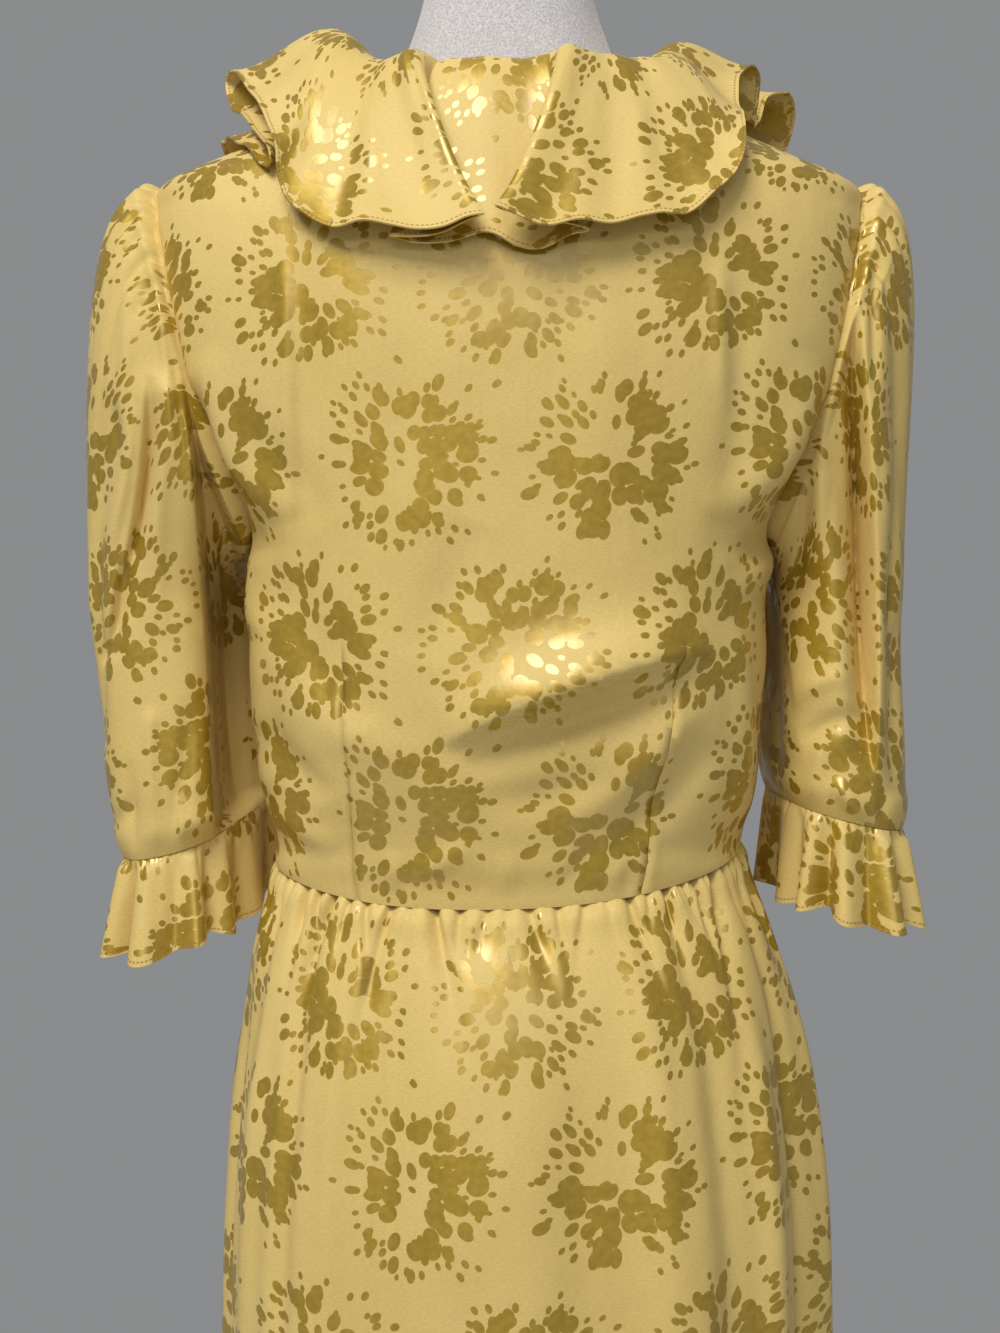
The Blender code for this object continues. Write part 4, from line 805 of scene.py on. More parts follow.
# Sleeves and cuffs are worked out on the left, and turned round in x for the right
FLIP = {"left": np.array((1, 1, 1)), "right": np.array((-1, 1, 1))}


def sleeve(side):
    hidden_turns = 180 + 180 * np.arange(SLEEVE_COLUMNS_FRONT) / SLEEVE_COLUMNS_FRONT
    shown_turns = 180 * np.arange(SLEEVE_COLUMNS_BACK) / SLEEVE_COLUMNS_BACK
    turn_line = np.concatenate((hidden_turns, shown_turns))
    steps = np.linspace(0, 1, HEAD_ROWS, endpoint=False) ** HEAD_CROWDED
    steps = np.concatenate((steps, np.linspace(1, 2, TUBE_ROWS)))
    turn, step = np.meshgrid(turn_line, steps)
    base = sleeve_points(side, np.repeat(armhole_start(turn_line)[None], len(steps), 0), turn, step)
    c, s = turned(turn)
    upward = np.maximum(c, 0) * OUT_UPWARD * (1 - np.minimum(step, 1))
    out = unit(np.stack((c * OUT_SIDEWAYS, s, upward), -1))
    height = -long_fold(side, turn, step)
    for at, half, depth, length in head_gathers():
        away = past(turn, at * FLIP[side][0])
        fade = hill(step, length, FADE) * ease(step * 60)
        height -= depth / 1000 * hill(away, half * (HEAD_NARROW + HEAD_WIDENS * step)) * fade
    height += ease((c + 0.2) / 0.8) * PUFF * hill(step - PUFF_STEP, PUFF_REACH)
    grid = (base + out * height[..., None]) * FLIP[side]
    px, py = picture(grid)
    shown = ease((s + np.where(c < 0, 0.5, 0.0)) * 3)
    alive = ease((step - 0.01) / ALIVE_HEAD) * (ALIVE_CUFF + (1 - ALIVE_CUFF) * ease((2 - step) / 0.10))
    folds = strokes(px, py, SLEEVE_STROKES[side]) * shown * SLEEVE_FOLD_SCALE * alive
    hidden = []
    for turn0, level0, turn1, level1, *rest in SLEEVE_HIDDEN:
        hidden.append((turn0, level0 * LEVEL_SCALE, turn1, level1 * LEVEL_SCALE, *rest))
    wrapped = np.where(turn < 90, turn + 360, turn)
    more = strokes(wrapped, grid[..., 2] * LEVEL_SCALE, hidden) * ease(-s * 3 + 0.2) * alive
    down = lengths(base, 0)
    up = down[-1] - down
    for run, roll, where in ((down, ARM_ROLL, 1), (up, WRIST_ROLL, 1), (up, WRIST_PUFF, ease(s * 2 + 0.6))):
        rise, at, reach = roll
        more += rise * hill(run - at, reach) * where
    # A fold on the shown side is pushed forward, so that the inner side recedes beside the body
    pushed = unit(np.stack((np.maximum(c, -0.15) * OUT_SIDEWAYS, np.maximum(s, 0.3), 0 * s), -1))
    grid = grid + (pushed * folds[..., None] + out * more[..., None]) * FLIP[side]
    middle = SLEEVE_COLUMNS_FRONT + SLEEVE_COLUMNS_BACK // 2
    uv = cloth_map(base[::-1], ring=True, centre=middle)
    folded = base + pushed * folds[..., None]
    uv[..., 0] = cloth_map(folded[::-1], ring=True, centre=middle)[..., 0] * FLIP[side][0]
    uv += SLEEVE_SHIFT[side]
    # The seam allowance turns in under the bodice's edge
    under = unit(leaving(*turned(turn_line))) * FLIP[side]
    grid = np.concatenate((*(grid[:1] - under * deep for deep in ALLOWANCE), grid))
    uv = np.concatenate((uv, *(uv[-1:] + (0, deep) for deep in ALLOWANCE[::-1])))
    return cloth("satin_sleeve_" + side, grid[::-1], uv, ring=True, side=-FLIP[side][0])


# Waves of the cuffs: turn, half width in degrees, height in mm at the hem
CUFF_WAVES = {
    "left": (
        (8, 7, 2.4), (28, 9, -3.6), (47, 10, 6), (62, 5, -9), (79, 10, 5), (99, 7, -3), (112, 9, 3.6),
        (126, 7, -5), (140, 7, 5), (156, 7, -4), (170, 8, 3.6), (190, 8, -4), (206, 8, 4.6),
        (222, 7, -5.4), (238, 8, 6), (254, 6, -6), (272, 9, 6.4), (290, 7, -6.6), (308, 9, 5.6),
        (325, 7, -6.6), (343, 8, 3), (357, 5, -2.6),
    ),
    "right": (
        (6, 8, 2.6), (22, 6, -5), (38, 8, 6.5), (53, 5, -9.5), (68, 9, 6), (84, 6, -4.4), (98, 8, 4.6),
        (112, 6, -7), (126, 8, 5.4), (141, 6, -4.6), (156, 8, 4), (172, 7, -4.4), (190, 8, 4.4),
        (207, 7, -5), (224, 8, 5.4), (240, 6, -6), (257, 8, 6.2), (274, 7, -6.4), (291, 8, 6),
        (308, 7, -6.6), (325, 8, 5), (343, 7, -3.6),
    ),
}
CUFF_COLUMNS, CUFF_ROWS, CUFF_SCALE = 300, 30, 1.5e-3
# How much calmer the waves are beside the body, how much less the cuff flares there and outside
CALM, FLARE_LESS_INSIDE, FLARE_LESS_OUTSIDE = 0.4, 0.6, 0.7
CUFF_CALM_FROM, CUFF_CALM_RUN, WAVE_AT_SEAM, WAVE_GROWS = 0.35, 0.6, 0.30, 0.70
CUFF_ROLL, CUFF_DROOP, CUFF_SHORTER, WAVE_DROOP = (0.0008, 0.05), 0.002, 0.004, 0.25
CUFF_FULL, CUFF_HEM_FULL = 1.35, 1.3  # how much longer the cloth is than the seam, and the hem than that
CUFF_SHIFT = {"left": (0.02, 0.05), "right": (0.05, 0.03)}
# Small gathers at a cuff's seam: number, and rate, swing and middle of place, depth and length
CUFF_GATHERS, CUFF_GATHER_PLACE = 44, (5.1, 0.35)
CUFF_GATHER_DEPTH, CUFF_GATHER_LONG = (3.7, 0.55e-3, 0.77e-3), (1.0, 0.1, 0.18)
# A hemmed ruffle: thickness of its cloth, what its hem adds, and how wide that is
HEM_THIN, HEM_MORE, HEM_WIDE = 0.00045, 0.00055, 0.0022


def cuff(side):
    turn_line = 180 + 360 * np.arange(CUFF_COLUMNS) / CUFF_COLUMNS
    turn, step = np.meshgrid(turn_line, np.linspace(0, 1, CUFF_ROWS))
    start, foot = np.zeros((*turn.shape, 3)), np.full_like(turn, 2.0)
    seam = sleeve_points(side, start, turn % 360, foot)
    run = sleeve_points(side, start, (turn + 4) % 360, foot) - seam
    out = unit(np.stack((run[..., 1], -run[..., 0], np.zeros_like(step)), -1))
    c, _ = turned(turn)
    inner, outer = (ease((way * c - CUFF_CALM_FROM) / CUFF_CALM_RUN) for way in (-1, 1))
    wave = np.zeros_like(step)
    for at, half, rise in CUFF_WAVES[side]:
        bell = hill(past(turn, at), half * (0.75 + 0.35 * step))
        wave += rise * CUFF_SCALE * bell * (WAVE_AT_SEAM * ease(step * 8) + WAVE_GROWS * step)
    wave *= 1 - CALM * inner
    for n in range(CUFF_GATHERS):
        at = 360 / CUFF_GATHERS * (n + uneven(n, *CUFF_GATHER_PLACE))
        fade = hill(step, uneven(n, *CUFF_GATHER_LONG))
        wave -= uneven(n, *CUFF_GATHER_DEPTH) * hill(past(turn, at), 1.6 + 3 * step) * fade
    wave -= CUFF_ROLL[0] * hill(step, CUFF_ROLL[1])
    flare = CUFF_FLARE * (1 - FLARE_LESS_INSIDE * inner - FLARE_LESS_OUTSIDE * outer)
    grid = seam + out * (wave + flare * step)[..., None]
    droop = CUFF_DROOP * np.sin(np.radians(turn * 5 + 40)) * step
    grid[..., 2] -= SEAM + (CUFF_DROP - CUFF_SHORTER) * step + droop + WAVE_DROOP * wave * step**2
    base = seam.copy()
    base[..., 2] -= CUFF_DROP * step
    uv = cloth_map((base * FLIP[side])[::-1], ring=True, centre=3 * CUFF_COLUMNS // 4)
    uv[..., 0] *= CUFF_FULL
    from_hem = np.repeat((1 - step[::-1, :1]) * CUFF_DROP, uv.shape[1], 1)
    edge = np.stack((uv[..., 0] * CUFF_HEM_FULL, from_hem), -1)
    uv += CUFF_SHIFT[side]
    thin = HEM_THIN + HEM_MORE * hill(from_hem[:, :-1], HEM_WIDE, 4)
    name = "satin_cuff_" + side
    return cloth(name, (grid * FLIP[side])[::-1], uv, edge, ring=True, side=-FLIP[side][0], thin=thin)


# The flounce round the neck


def flounce_root(root):
    """Where the flounce is sewn on, and which way is out there. Past the corner root runs down the front."""
    side = math.copysign(1.0, root)
    beyond = abs(root) - 90
    if abs(root) <= NECK_CORNER:
        corner = max(beyond, 0.0) / (NECK_CORNER - 90) * (90 + float(neck_edge(np.array(NECK))))
        turn = side * (90 + min(beyond, 0.0) + corner)
        x, y = section(*NECK_SEAM, SQUARE, turn)
        return np.array((x, y, NECK - FLOUNCE_ROOT)), outward(np.array(turn))
    level = np.array(NECK - (abs(root) - NECK_CORNER) * STEP_DOWN)
    edge = side * (180 + neck_edge(level))
    over = float(wrap_lift(level, abs(edge) - 90)) if side < 0 else 0.0
    way = body_normal(level, edge)
    return body(level, edge) + way * (over + FLOUNCE_ROOT), way


# The flounce down the fronts: its slope, how near the side it may come, its rise and its reach
FRONT_SLOPE, FRONT_SIDE_LIMIT, FRONT_RISE, FRONT_RISE_TOP = 0.34, 0.985, 0.004, 0.032
FRONT_REACH, FRONT_REACH_WAVE, FRONT_REACH_END = 0.018, 0.006, 0.003


def front_stations(side):
    """Rows like the flounce's table for its waves down one front."""
    first = FLOUNCE[0, 0] + 3 if side > 0 else FLOUNCE[-1, 0] - 3
    last = FLOUNCE_LEFT_END if side > 0 else FLOUNCE_RIGHT_END
    count = round(abs(last - first) / FRONT_WAVE_STEPS * FRONT_STATIONS_A_WAVE)
    rows = []
    for k in range(count + 1):
        root = first + (last - first) * k / count
        start, _ = flounce_root(root)
        share = k / count
        depth = FLOUNCE_DEPTH + (FLOUNCE_END_DEPTH - FLOUNCE_DEPTH) * share**1.5
        wave = 0.5 - 0.5 * math.cos(math.tau * k / FRONT_STATIONS_A_WAVE)
        slope = FRONT_SLOPE * (1 - share) + (0.0 if side > 0 else FRONT_SLOPE) * share
        x = start[0] + side * depth * math.cos(slope)
        level = start[2] - depth * math.sin(slope)
        wide, _, deep, square = rows_at(BODICE, np.array(level))
        inside = min(abs(x) / wide, FRONT_SIDE_LIMIT)
        y = -deep * (1 - inside**square) ** (1 / square)
        lift = FLOUNCE_LIFT + (WRAP_LIFT if side < 0 else 0)
        lift += FLOUNCE_WAVE * wave * (1 - 0.5 * share) * depth / FLOUNCE_DEPTH
        rise = FRONT_RISE + FRONT_RISE_TOP * max(0, 1 - 4 * share)
        reach = (FRONT_REACH + FRONT_REACH_WAVE * wave) * depth / FLOUNCE_DEPTH + FRONT_REACH_END
        rows.append((root, x, y - lift, level, rise, reach))
    return rows


FLOUNCE_COLUMNS, FLOUNCE_ROWS, CLOTH_ROW, FLOUNCE_SHIFT = 900, 27, 8, (0.045, 0.03)
FLOUNCE_HEM_MORE, FLOUNCE_HEM_WIDE, FLOUNCE_OUTSIDE = 0.00060, 0.0024, 0.0003
# Share of the way out where the run is measured, what each station adds to it, and how far back
# the creases show
FLOUNCE_MIDDLE, STATION_MORE, SEEN_FROM, SEEN_EASED = 0.6, 0.002, 0.07, 0.03
# The frill at the hem: height and waves for each metre; the pleats at the root: height and lengths
FRILL, FRILL_WAVES, PLEAT, PLEAT_LONG, PLEAT_REACH = 0.0011, (155, 31), 0.0006, (0.0034, 0.017), 0.10
# Soft creases of the flounce in the picture, as for the back
FLOUNCE_FOLDS = (
    (611, 74, 664, 126, 4, 6, -1.4, 0.3), (350, 62, 372, 190, 6, 10, 1.4),
    (318, 70, 330, 200, -6, 9, -1.4), (400, 70, 420, 200, 4, 9, -1.2), (560, 110, 590, 200, 4, 9, 1.2),
    (640, 90, 650, 200, -5, 11, 1.4), (700, 74, 704, 190, 4, 8, -1.4), (285, 80, 300, 170, 4, 8, 1.2),
)


def flounce():
    rows = front_stations(1)[::-1] + [tuple(row) for row in FLOUNCE] + front_stations(-1)
    rows = np.array(rows)[::-1]
    roots = [flounce_root(row[0]) for row in rows]
    start, way = (np.array([np.ravel(pair[n]) for pair in roots]) for n in (0, 1))
    middle = start + (rows[:, 1:4] - start) * FLOUNCE_MIDDLE
    run = lengths(middle[:, None], 0)[:, 0] + STATION_MORE * np.arange(len(middle))
    table = np.column_stack((run, start, way, rows[:, 1:]))
    fine = rows_at(table, np.linspace(0, run[-1], FLOUNCE_COLUMNS))
    start, way, hem, rise, reach = np.split(fine, (3, 6, 9, 10), axis=1)
    way = unit(way)
    step = np.linspace(1, 0, FLOUNCE_ROWS)[:, None, None]
    fall = hem - start
    along = np.column_stack((-way[:, 1], way[:, 0], np.zeros(len(way))))
    swing = along * (fall * along).sum(1, keepdims=True)
    lift = way * reach
    lift[:, 2] += rise[:, 0]
    grid = start + (fall - swing) * step + swing * step**FLOUNCE_SWING
    grid = grid + lift * FLOUNCE_HUMP * step * (1 - step) ** 2
    px, py = picture(grid)
    seen = ease((grid[..., 1] - SEEN_FROM) / SEEN_EASED)
    run_middle, run_hem, run_root = lengths(grid, 1)[[CLOTH_ROW, 0, -1]]
    share = step[:, :, 0]
    close, far = FRILL_WAVES
    frill = FRILL * np.sin(run_middle * close + 2 * np.sin(run_middle * far)) * share**3
    close, far = PLEAT_LONG
    pleats = PLEAT * np.sin(run_root / close + np.sin(run_root / far)) * hill(share, PLEAT_REACH)
    height = strokes(px, py, FLOUNCE_FOLDS) * seen * share * (1 - share) * 4 + frill + pleats
    grid = grid + normals(grid, False) * height[..., None]
    v = lengths(grid, 0)
    uv = np.stack((run_middle + 0 * v + FLOUNCE_SHIFT[0], v[-1:] - v + FLOUNCE_SHIFT[1]), -1)
    edge = np.stack((run_hem + 0 * v, v), -1)
    thin = HEM_THIN + FLOUNCE_HEM_MORE * hill(v, FLOUNCE_HEM_WIDE, 4)
    return cloth("satin_collar_flounce", grid, uv, edge, thin=thin, outside=FLOUNCE_OUTSIDE)


# The form and the tie


def closed_rings(name, points):
    """A closed body through rings of points from the bottom up, and its faces."""
    rows, columns = points.shape[:2]
    faces = squares(*cells(rows, columns), columns).tolist()
    faces.append(list(range(columns))[::-1])
    faces.append(list(range((rows - 1) * columns, rows * columns)))
    data = bpy.data.meshes.new(name)
    data.from_pydata(points.reshape(-1, 3).tolist(), [], faces)
    data.shade_smooth()
    return place(name, data), faces


FORM_LEVELS, FORM_COLUMNS, FORM_UNDER, FORM_ROUNDED, FORM_SHARP = 110, 96, 0.0003, 0.004, 50


def form():
    levels = np.unique(np.concatenate((FORM[:, 0], np.linspace(FORM[0, 0], FORM[-1, 0], FORM_LEVELS))))
    table = rows_at(FORM, levels) - FORM_UNDER
    table[0] -= FORM_ROUNDED  # the lowest edge
    turn = np.linspace(0, 360, FORM_COLUMNS, endpoint=False)
    points = []
    for level, row in zip(levels, table):
        points.append(np.stack((*section(*row, SQUARE, turn), np.full_like(turn, level)), -1))
    made, _ = closed_rings("form_torso", np.array(points))
    made.data.set_sharp_from_angle(angle=math.radians(FORM_SHARP))
    return made


# The knot: turn round the waist, distance out, half sizes across, out and up, and steepest slope
TIE_AT, KNOT_OUT, KNOT_WIDE, KNOT_DEEP, KNOT_HIGH, KNOT_END = 141.0, 0.0111, 0.0128, 0.0076, 0.0108, 1.35
KNOT_COLUMNS, KNOT_ROWS, KNOT_SHIFT, KNOT_BULGES, KNOT_ROUND = 48, 24, (0.21, 0.13), (0.07, 0.05), 0.6


def tie_knot():
    way = outward(np.array(TIE_AT))
    across = np.array((-way[1], way[0], 0.0))
    x, y = section(WAIST_WIDE, WAIST_BACK, WAIST_FRONT, SQUARE, TIE_AT)
    middle = np.array((x, y, float(waist_level(TIE_AT)))) + way * KNOT_OUT
    theta = np.linspace(0, math.tau, KNOT_COLUMNS, endpoint=False)
    phi = np.linspace(-KNOT_END, KNOT_END, KNOT_ROWS)[:, None]
    big, small = KNOT_BULGES
    bulge = 1 + big * np.sin(3 * theta + 4 * phi) + small * np.sin(7 * theta - 3 * phi)
    round_off = np.cos(phi) ** KNOT_ROUND * bulge
    up = KNOT_HIGH * np.sin(phi) / math.sin(KNOT_END) * np.ones_like(theta)
    points = (
        middle
        + across * (KNOT_WIDE * round_off * np.cos(theta))[..., None]
        + way * (KNOT_DEEP * round_off * np.sin(theta))[..., None]
        + np.array((0, 0, 1)) * up[..., None]
    )
    made, faces = closed_rings("satin_tie_knot", points)
    layer = made.data.uv_layers.new(name="cloth")
    uv = np.stack((points @ across, points[..., 2]), -1).reshape(-1, 2) + KNOT_SHIFT
    layer.data.foreach_set("uv", uv[np.concatenate(faces)].astype(np.float32).ravel())
    return made


# The tails of the tie: rows, columns, drop at the knot, how narrow they are there, how much lower
# each degree hangs, and the heights of the pinch at the knot and of the twist
TAIL_ROWS, TAIL_COLUMNS, TIE_TOP, TAIL_NARROW, TIE_SLANT = 60, 21, 0.01155, 0.75, 0.0008
TAIL_PINCH, TAIL_TWIST = 0.0012, 0.0008


def tie_tail(name, start, end, length, lift, shift):
    """A tail of the tie, between two turns and so long. lift is its distance from the skirt."""
    share = np.linspace(1, 0, TAIL_ROWS)[:, None]
    degrees = np.linspace(start, end, TAIL_COLUMNS)[None]
    middle = (start + end) / 2
    at = middle + (degrees - middle) * (TAIL_NARROW + (1 - TAIL_NARROW) * share)
    drop = TIE_TOP + length * share + (degrees - start) * TIE_SLANT * share
    base, wave, _ = skirt_surface(at, drop)
    across = (degrees - middle) / (end - start)
    pinch = TAIL_PINCH * np.cos(across * 26) * np.exp(-share * 5)
    twist = TAIL_TWIST * np.sin(across * 5 + share * 5)
    grid = base + outward(at) * (wave + lift + (pinch + twist))[..., None]
    edge = np.stack((lengths(base, 1), lengths(base, 0)), -1)
    return cloth(name, grid, cloth_map(base, shift=shift), edge)


# Materials


def arithmetic(operation):
    return lambda self, other: self.tree.math(operation, self, other)


class Field:
    """A number, place or colour from a material's nodes, with the usual signs for numbers."""

    def __init__(self, tree, socket):
        self.tree, self.socket = tree, socket

    def __rsub__(self, other):
        return self.tree.math("SUBTRACT", other, self)

    def __abs__(self):
        return self.tree.math("ABSOLUTE", self)

    __add__, __sub__, __mul__, __truediv__, __pow__, __mod__, __lt__, __gt__ = (
        arithmetic(name)
        for name in "ADD SUBTRACT MULTIPLY DIVIDE POWER FLOORED_MODULO LESS_THAN GREATER_THAN".split()
    )


class Tree:
    """A new material, with short calls for its nodes."""

    def __init__(self, name):
        self.made = bpy.data.materials.new(name)
        self.made.use_nodes = True
        self.tree = self.made.node_tree

    def put(self, node, values):
        """Sets or links inputs, which are given by name or number."""
        for key, value in values.items():
            if isinstance(value, Field):
                self.tree.links.new(value.socket, node.inputs[key])
            else:
                node.inputs[key].default_value = value

    def finish(self, values):
        self.put(self.tree.nodes["Principled BSDF"], values)
        return self.made

    def node(self, kind, values, **settings):
        """The outputs of a new node."""
        made = self.tree.nodes.new("ShaderNode" + kind)
        for key, value in settings.items():
            setattr(made, key, value)
        self.put(made, values)
        return [Field(self, socket) for socket in made.outputs]

    def math(self, operation, *values):
        return self.node("Math", dict(enumerate(values)), operation=operation)[0]

    def vector(self, operation, *values):
        place, number = self.node("VectorMath", dict(enumerate(values)), operation=operation)
        return number if operation == "LENGTH" else place

    def split(self, value):
        return self.node("SeparateXYZ", {0: value})

    def join(self, x, y):
        return self.node("CombineXYZ", {0: x, 1: y})[0]

    def uv_map(self, name):
        return self.node("UVMap", {}, uv_map=name)[0]

    def object_place(self):
        outputs = self.node("TexCoord", {})
        return next(field for field in outputs if field.socket.name == "Object")

    def noise(self, at, scale, detail=2.0, roughness=0.5, kind="3D"):
        values = {"Vector": at, "Scale": scale, "Detail": detail, "Roughness": roughness}
        return self.node("TexNoise", values, noise_dimensions=kind)[0]

    def smooth(self, value, low, high):
        values = {"Value": value, "From Min": low, "From Max": high}
        return self.node("MapRange", values, interpolation_type="SMOOTHSTEP")[0]

    def mix(self, share, a, b):
        return self.node("Mix", {0: share, 6: a, 7: b}, data_type="RGBA")[2]

    def bump(self, height, distance, strength, **under):
        return self.node("Bump", {"Height": height, "Distance": distance, "Strength": strength, **under})[0]


MOTIF_ACROSS, MOTIF_UP = 0.1045, 0.092
# Where the big ovals of a flower lie, distance out and half breadth, and how many of them there are
CLUSTER_AWAY, CLUSTER_BAND, CLUSTER_PULL, CLUSTER_LEAST = 0.0205, 0.0155, 0.18, 0.58
# The loose ovals: distances over which they begin and end, chance, chance everywhere, room at an edge
PETALS = ((0.007, 0.013), (0.033, 0.048), 0.70, 0.0, 0.0045)
SPRAY = ((0.020, 0.032), (0.040, 0.054), 0.60, 0.07, 0.0030)


def ovals(t, place_at, offset, cell, size, stretch, feature, exists):
    """Ovals that point out from the flower's centre, one in each cell of a Voronoi pattern.

    exists is called with the oval's place, its distance out and a random number, and gives 0 or 1.
    """
    values = {"Vector": t.vector("ADD", place_at, offset), "Scale": 1 / cell, "Randomness": 0.82}
    _, colour, position, *_ = t.node("TexVoronoi", values, voronoi_dimensions="2D", feature=feature)
    found = t.vector("SUBTRACT", position, offset)
    away = t.vector("LENGTH", found)
    chance, growth, _ = t.split(colour)
    fx, fy, _ = t.split(found)
    dx, dy, _ = t.split(t.vector("SUBTRACT", place_at, found))
    ex, ey = fx / away, fy / away
    out, over = dx * ex + dy * ey, dy * ex - dx * ey
    far = t.math("SQRT", (out / (size * stretch)) ** 2.0 + (over / size) ** 2.0)
    shape = 1.0 - t.smooth(far / (growth * 0.5 + 0.72), 0.95, 1.03)
    return shape * exists(found, away, chance)


def flower_mask(t, uv):
    """1 on the woven flowers and 0 on the ground, by the place on the cloth in metres."""
    u, v, _ = t.split(uv)
    row = t.math("FLOOR", v / MOTIF_UP)
    odd = row % 2.0
    across = u / MOTIF_ACROSS + odd * 0.5
    column = t.math("FLOOR", across)
    place_at = t.join((across - column - 0.5) * MOTIF_ACROSS, (v / MOTIF_UP - row - 0.5) * MOTIF_UP)
    offset = t.join(odd * 0.31 + 0.7, column % 2.0 * 0.47 + 0.4)

    def in_cluster(found, away, _):
        spread = t.noise(t.vector("ADD", found, offset), 40.0, 0.0, kind="2D")
        near = 1.0 - abs((away - CLUSTER_AWAY) / CLUSTER_BAND)
        return (spread + near * CLUSTER_PULL > CLUSTER_LEAST) * (near > 0.0)

    def loose(begin, end, most, least, room):
        def exists(found, away, chance):
            share = t.smooth(away, *begin) * (1.0 - t.smooth(away, *end)) * most + least
            fx, fy, _ = t.split(found)
            whole = (abs(fx) < MOTIF_ACROSS / 2 - room) * (abs(fy) < MOTIF_UP / 2 - room)
            return (chance < share) * whole

        return exists

    masks = []
    for features, shift, cell, size, stretch, exists in (
        (("F1", "F2"), (0, 0, 0), 0.0080, 0.0046, 1.15, in_cluster),
        (("F1", "F2"), (0.13, 0.29, 0), 0.0098, 0.0027, 1.60, loose(*PETALS)),
        (("F1",), (0.41, 0.07, 0), 0.0070, 0.0016, 1.50, loose(*SPRAY)),
    ):
        moved = t.vector("ADD", offset, shift)
        masks += [ovals(t, place_at, moved, cell, size, stretch, feature, exists) for feature in features]
    mask = masks[0]
    for other in masks[1:]:
        mask = t.math("MAXIMUM", mask, other)
    return mask


GROUND = (0.665, 0.485, 0.158, 1)
GROUND_PALE = (0.725, 0.541, 0.196, 1)
FIGURE = (0.385, 0.251, 0.017, 1)
FIGURE_PALE = (0.452, 0.300, 0.030, 1)
STITCH = (0.360, 0.185, 0.060, 1)
STITCH_LONG, STITCH_IN, HEM_IN = 0.0026, 0.0022, (0.0025, 0.0018)
SATIN = {
    "Coat Roughness": 0.29,
    "Coat IOR": 1.82,
    "Coat Tint": (1.0, 0.97, 0.88, 1),
    "IOR": 1.5,
    "Specular IOR Level": 0.28,
    "Specular Tint": (1.0, 0.90, 0.62, 1),
    "Sheen Weight": 0.02,
    "Sheen Roughness": 0.45,
    "Sheen Tint": (1.0, 0.94, 0.74, 1),
    "Anisotropic": 0.5,
}


def satin(name, stitched=False):
    t = Tree(name)
    t.made.diffuse_color = GROUND
    uv = t.uv_map("cloth")
    mask = flower_mask(t, uv)
    fine = t.noise(t.vector("MULTIPLY", uv, (1.0, 0.16, 1.0)), 2600.0, 1.0)
    grain = t.noise(t.vector("MULTIPLY", uv, (0.35, 1.0, 1.0)), 1100.0, 1.0, kind="2D")
    tone = t.noise(uv, 9.0) * 0.55 + grain * 0.45
    ground = t.mix(t.smooth(tone, 0.35, 0.65), GROUND, GROUND_PALE)
    figure = t.mix(t.smooth(t.noise(uv, 240.0), 0.3, 0.7), FIGURE, FIGURE_PALE)
    colour = t.mix(mask, ground, figure)
    relief = fine * 0.25 + mask * -0.35
    if stitched:
        run, depth, _ = t.split(t.uv_map("edge"))
        dash = t.smooth(abs(t.math("FRACT", run / STITCH_LONG) - 0.5), 0.36, 0.22)
        stitch = dash * t.smooth(abs(depth - STITCH_IN), 0.00065, 0.00030)
        colour = t.mix(stitch * 0.8, colour, STITCH)
        rib = t.math("SINE", run * (math.tau / STITCH_LONG))
        relief = relief + stitch * -1.2 + rib * t.smooth(depth, *HEM_IN) * 0.45
    crinkle = t.noise(uv, 85.0, 3.0, 0.55)
    soft = t.noise(t.vector("MULTIPLY", uv, (1.0, 0.55, 1.0)), 28.0)
    weave = t.bump(relief, 0.00022, 0.55)
    return t.finish({
        "Base Color": colour,
        "Roughness": mask * -0.07 + (fine * 0.06 + 0.46),
        "Metallic": mask * 0.38,
        "Coat Weight": mask * 0.60,
        "Tangent": t.node("Tangent", {}, direction_type="UV_MAP", uv_map="cloth")[0],
        "Anisotropic Rotation": mask * 0.25,
        "Normal": t.bump(crinkle * 0.20 + soft * 1.15, 0.0030, 0.5, Normal=weave),
        **SATIN,
    })


FLOCK_DARK, FLOCK_GREY, FLOCK_PALE = (0.44, 0.415, 0.425, 1), (0.60, 0.575, 0.585, 1), (0.67, 0.645, 0.645, 1)


def flock():
    t = Tree("flocked cover")
    at = t.object_place()
    speck = t.smooth(t.noise(at, 900.0, 2.0, 0.7), 0.36, 0.66)
    pale = t.mix(t.smooth(t.noise(at, 30.0, 3.0), 0.3, 0.7), FLOCK_GREY, FLOCK_PALE)
    return t.finish({
        "Base Color": t.mix(speck, FLOCK_DARK, pale),
        "Roughness": 0.92,
        "Sheen Weight": 0.35,
        "Normal": t.bump(t.noise(at, 700.0, 2.0, 0.6), 0.0006, 0.6),
    })


def hard(name, colour, metal, rough, grain):
    """Enamel or brushed metal. grain is how close its marks lie along x, y and z."""
    t = Tree(name)
    lines = t.noise(t.vector("MULTIPLY", t.object_place(), grain), 60.0, 3.0, 0.6)
    dark = (*(part * 0.86 for part in colour), 1)
    return t.finish({
        "Base Color": t.mix(t.smooth(lines, 0.3, 0.7), dark, (*colour, 1)),
        "Metallic": metal,
        "Roughness": lines * 0.18 + rough,
    })


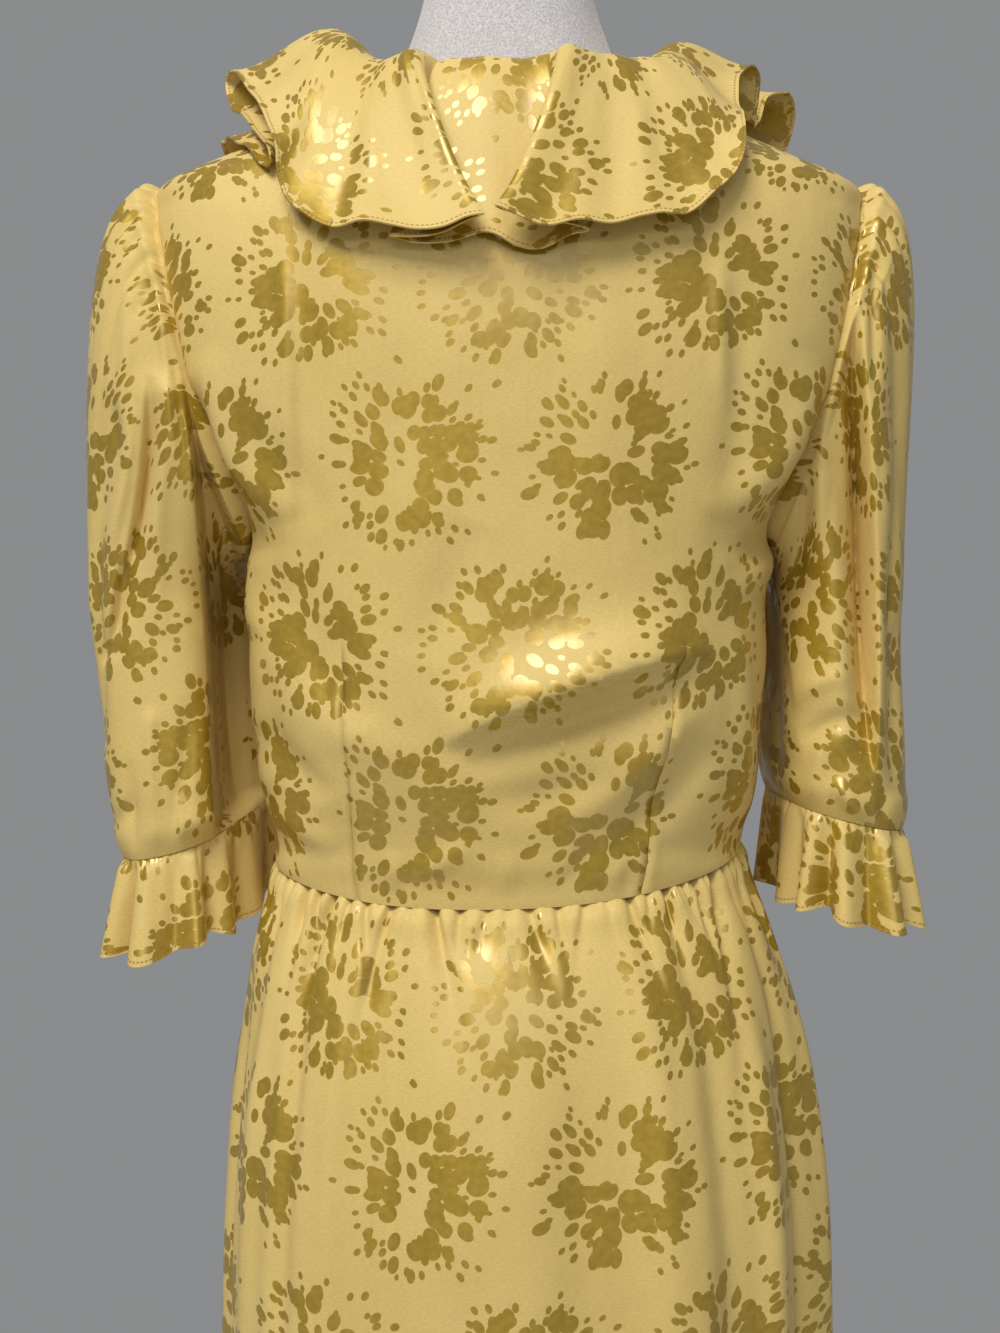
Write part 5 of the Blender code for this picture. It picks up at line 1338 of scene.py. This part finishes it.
# The lights: place, aim, width, height, power, colour and whether it shows in the satin's gloss
LIGHTS = (
    ((0.95, 2.05, 3.75), (0, 0, 1.10), 1.6, 1.4, 100, (1.0, 0.985, 0.955), True),
    ((0.10, 3.30, 2.45), (0, 0, 1.30), 2.4, 0.45, 14, (1.0, 0.99, 0.97), True),
    ((0.30, 3.90, 1.50), (0, 0, 1.0), 1.6, 1.6, 4, (1.0, 0.985, 0.96), False),
    ((0.9, -2.4, 2.8), (0, 0, 1.1), 1.6, 1.6, 30, (1.0, 0.99, 0.97), False),
    ((-0.8, -2.9, 1.2), (0, 0, 0.9), 1.6, 1.6, 9, (1.0, 0.99, 0.97), False),
)
WORLD_COLOUR, WORLD_STRENGTH = (0.456, 0.466, 0.474, 1), 0.56


def camera_and_lights():
    scene = bpy.context.scene
    camera = place("camera", bpy.data.cameras.new("camera"))
    camera.data.lens = LENS
    camera.data.sensor_width = SENSOR
    camera.location = EYE
    camera.rotation_euler = (math.radians(90), 0, math.radians(180))
    scene.camera = camera
    for n, (at, aim, wide, high, watts, colour, shows) in enumerate(LIGHTS):
        light = bpy.data.lights.new(f"softbox {n}", "AREA")
        light.shape = "RECTANGLE"
        light.size, light.size_y = wide, high
        light.energy, light.color = watts, colour
        thing = place(light.name, light)
        thing.location = at
        thing.visible_glossy = shows
        x, y, z = np.subtract(aim, at)
        thing.rotation_euler = (math.atan2(math.hypot(x, y), -z), 0, math.atan2(-x, y))
    scene.world = bpy.data.worlds.new("studio")
    scene.world.use_nodes = True
    sky = scene.world.node_tree.nodes["Background"]
    sky.inputs["Color"].default_value = WORLD_COLOUR
    sky.inputs["Strength"].default_value = WORLD_STRENGTH
    scene.view_settings.view_transform = "Standard"


FLOOR_HALF = 1.6


def floor():
    corners = [(x * FLOOR_HALF, y * FLOOR_HALF, 0) for x, y in ((-1, -1), (1, -1), (1, 1), (-1, 1))]
    data = bpy.data.meshes.new("floor")
    data.from_pydata(corners, [], [(0, 1, 2, 3)])
    data.materials.append(Tree("pale floor").finish({"Base Color": (0.66, 0.67, 0.69, 1), "Roughness": 0.8}))
    place("floor", data)


def dress(piece, material, node):
    """Gives a piece its material, hides the solid that it takes the place of, and hangs it under the root."""
    piece.data.materials.append(material)
    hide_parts(node)
    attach(piece, "root")


camera_and_lights()
floor()
plain = satin("golden satin")
hemmed = satin("golden satin, hemmed", stitched=True)
dress(bodice_back(), plain, "bodice_back")
for word, side in (("left", 1), ("right", -1)):
    dress(bodice_front(side), plain, "bodice_front_" + word)
skirt_cuts = {"skirt_back": (0.46, 0.69), "skirt_front_left": (0.36, 0.69), "skirt_front_right": (0.36, 0.69)}
for piece, (node, flat) in zip(skirt(), skirt_cuts.items()):
    dress(piece, hemmed, node)
for word in ("left", "right"):
    dress(sleeve(word), plain, "sleeve_" + word)
    dress(cuff(word), hemmed, "cuff_ruffle_" + word)
dress(flounce(), hemmed, "collar_flounce")
dress(tie_knot(), plain, "waist_tie_knot")
for word, flat, start, end, length, lift, shift in (
    ("front", (0.03, 0.20), 140.0, 150.0, 0.190, 0.0082, (0.02, 0.05)),
    ("side", (0.03, 0.17), 131.0, 141.5, 0.160, 0.0112, (0.07, 0.02)),
):
    tail = tie_tail("satin_tie_tail_" + word, start, end, length, lift, shift)
    dress(tail, hemmed, "waist_tie_tail_" + word)
dress(form(), flock(), "form_body")
for node, material in (
    ("form_cap", hard("cap", (0.62, 0.61, 0.60), 0.0, 0.5, (1, 1, 1))),
    ("form_pole", hard("brushed pole", (0.60, 0.61, 0.63), 1.0, 0.26, (30, 30, 1))),
    ("form_base", hard("brushed base", (0.60, 0.61, 0.63), 1.0, 0.30, (1, 14, 1))),
):
    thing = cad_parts[node]
    thing.data.materials.clear()
    thing.data.materials.append(material)
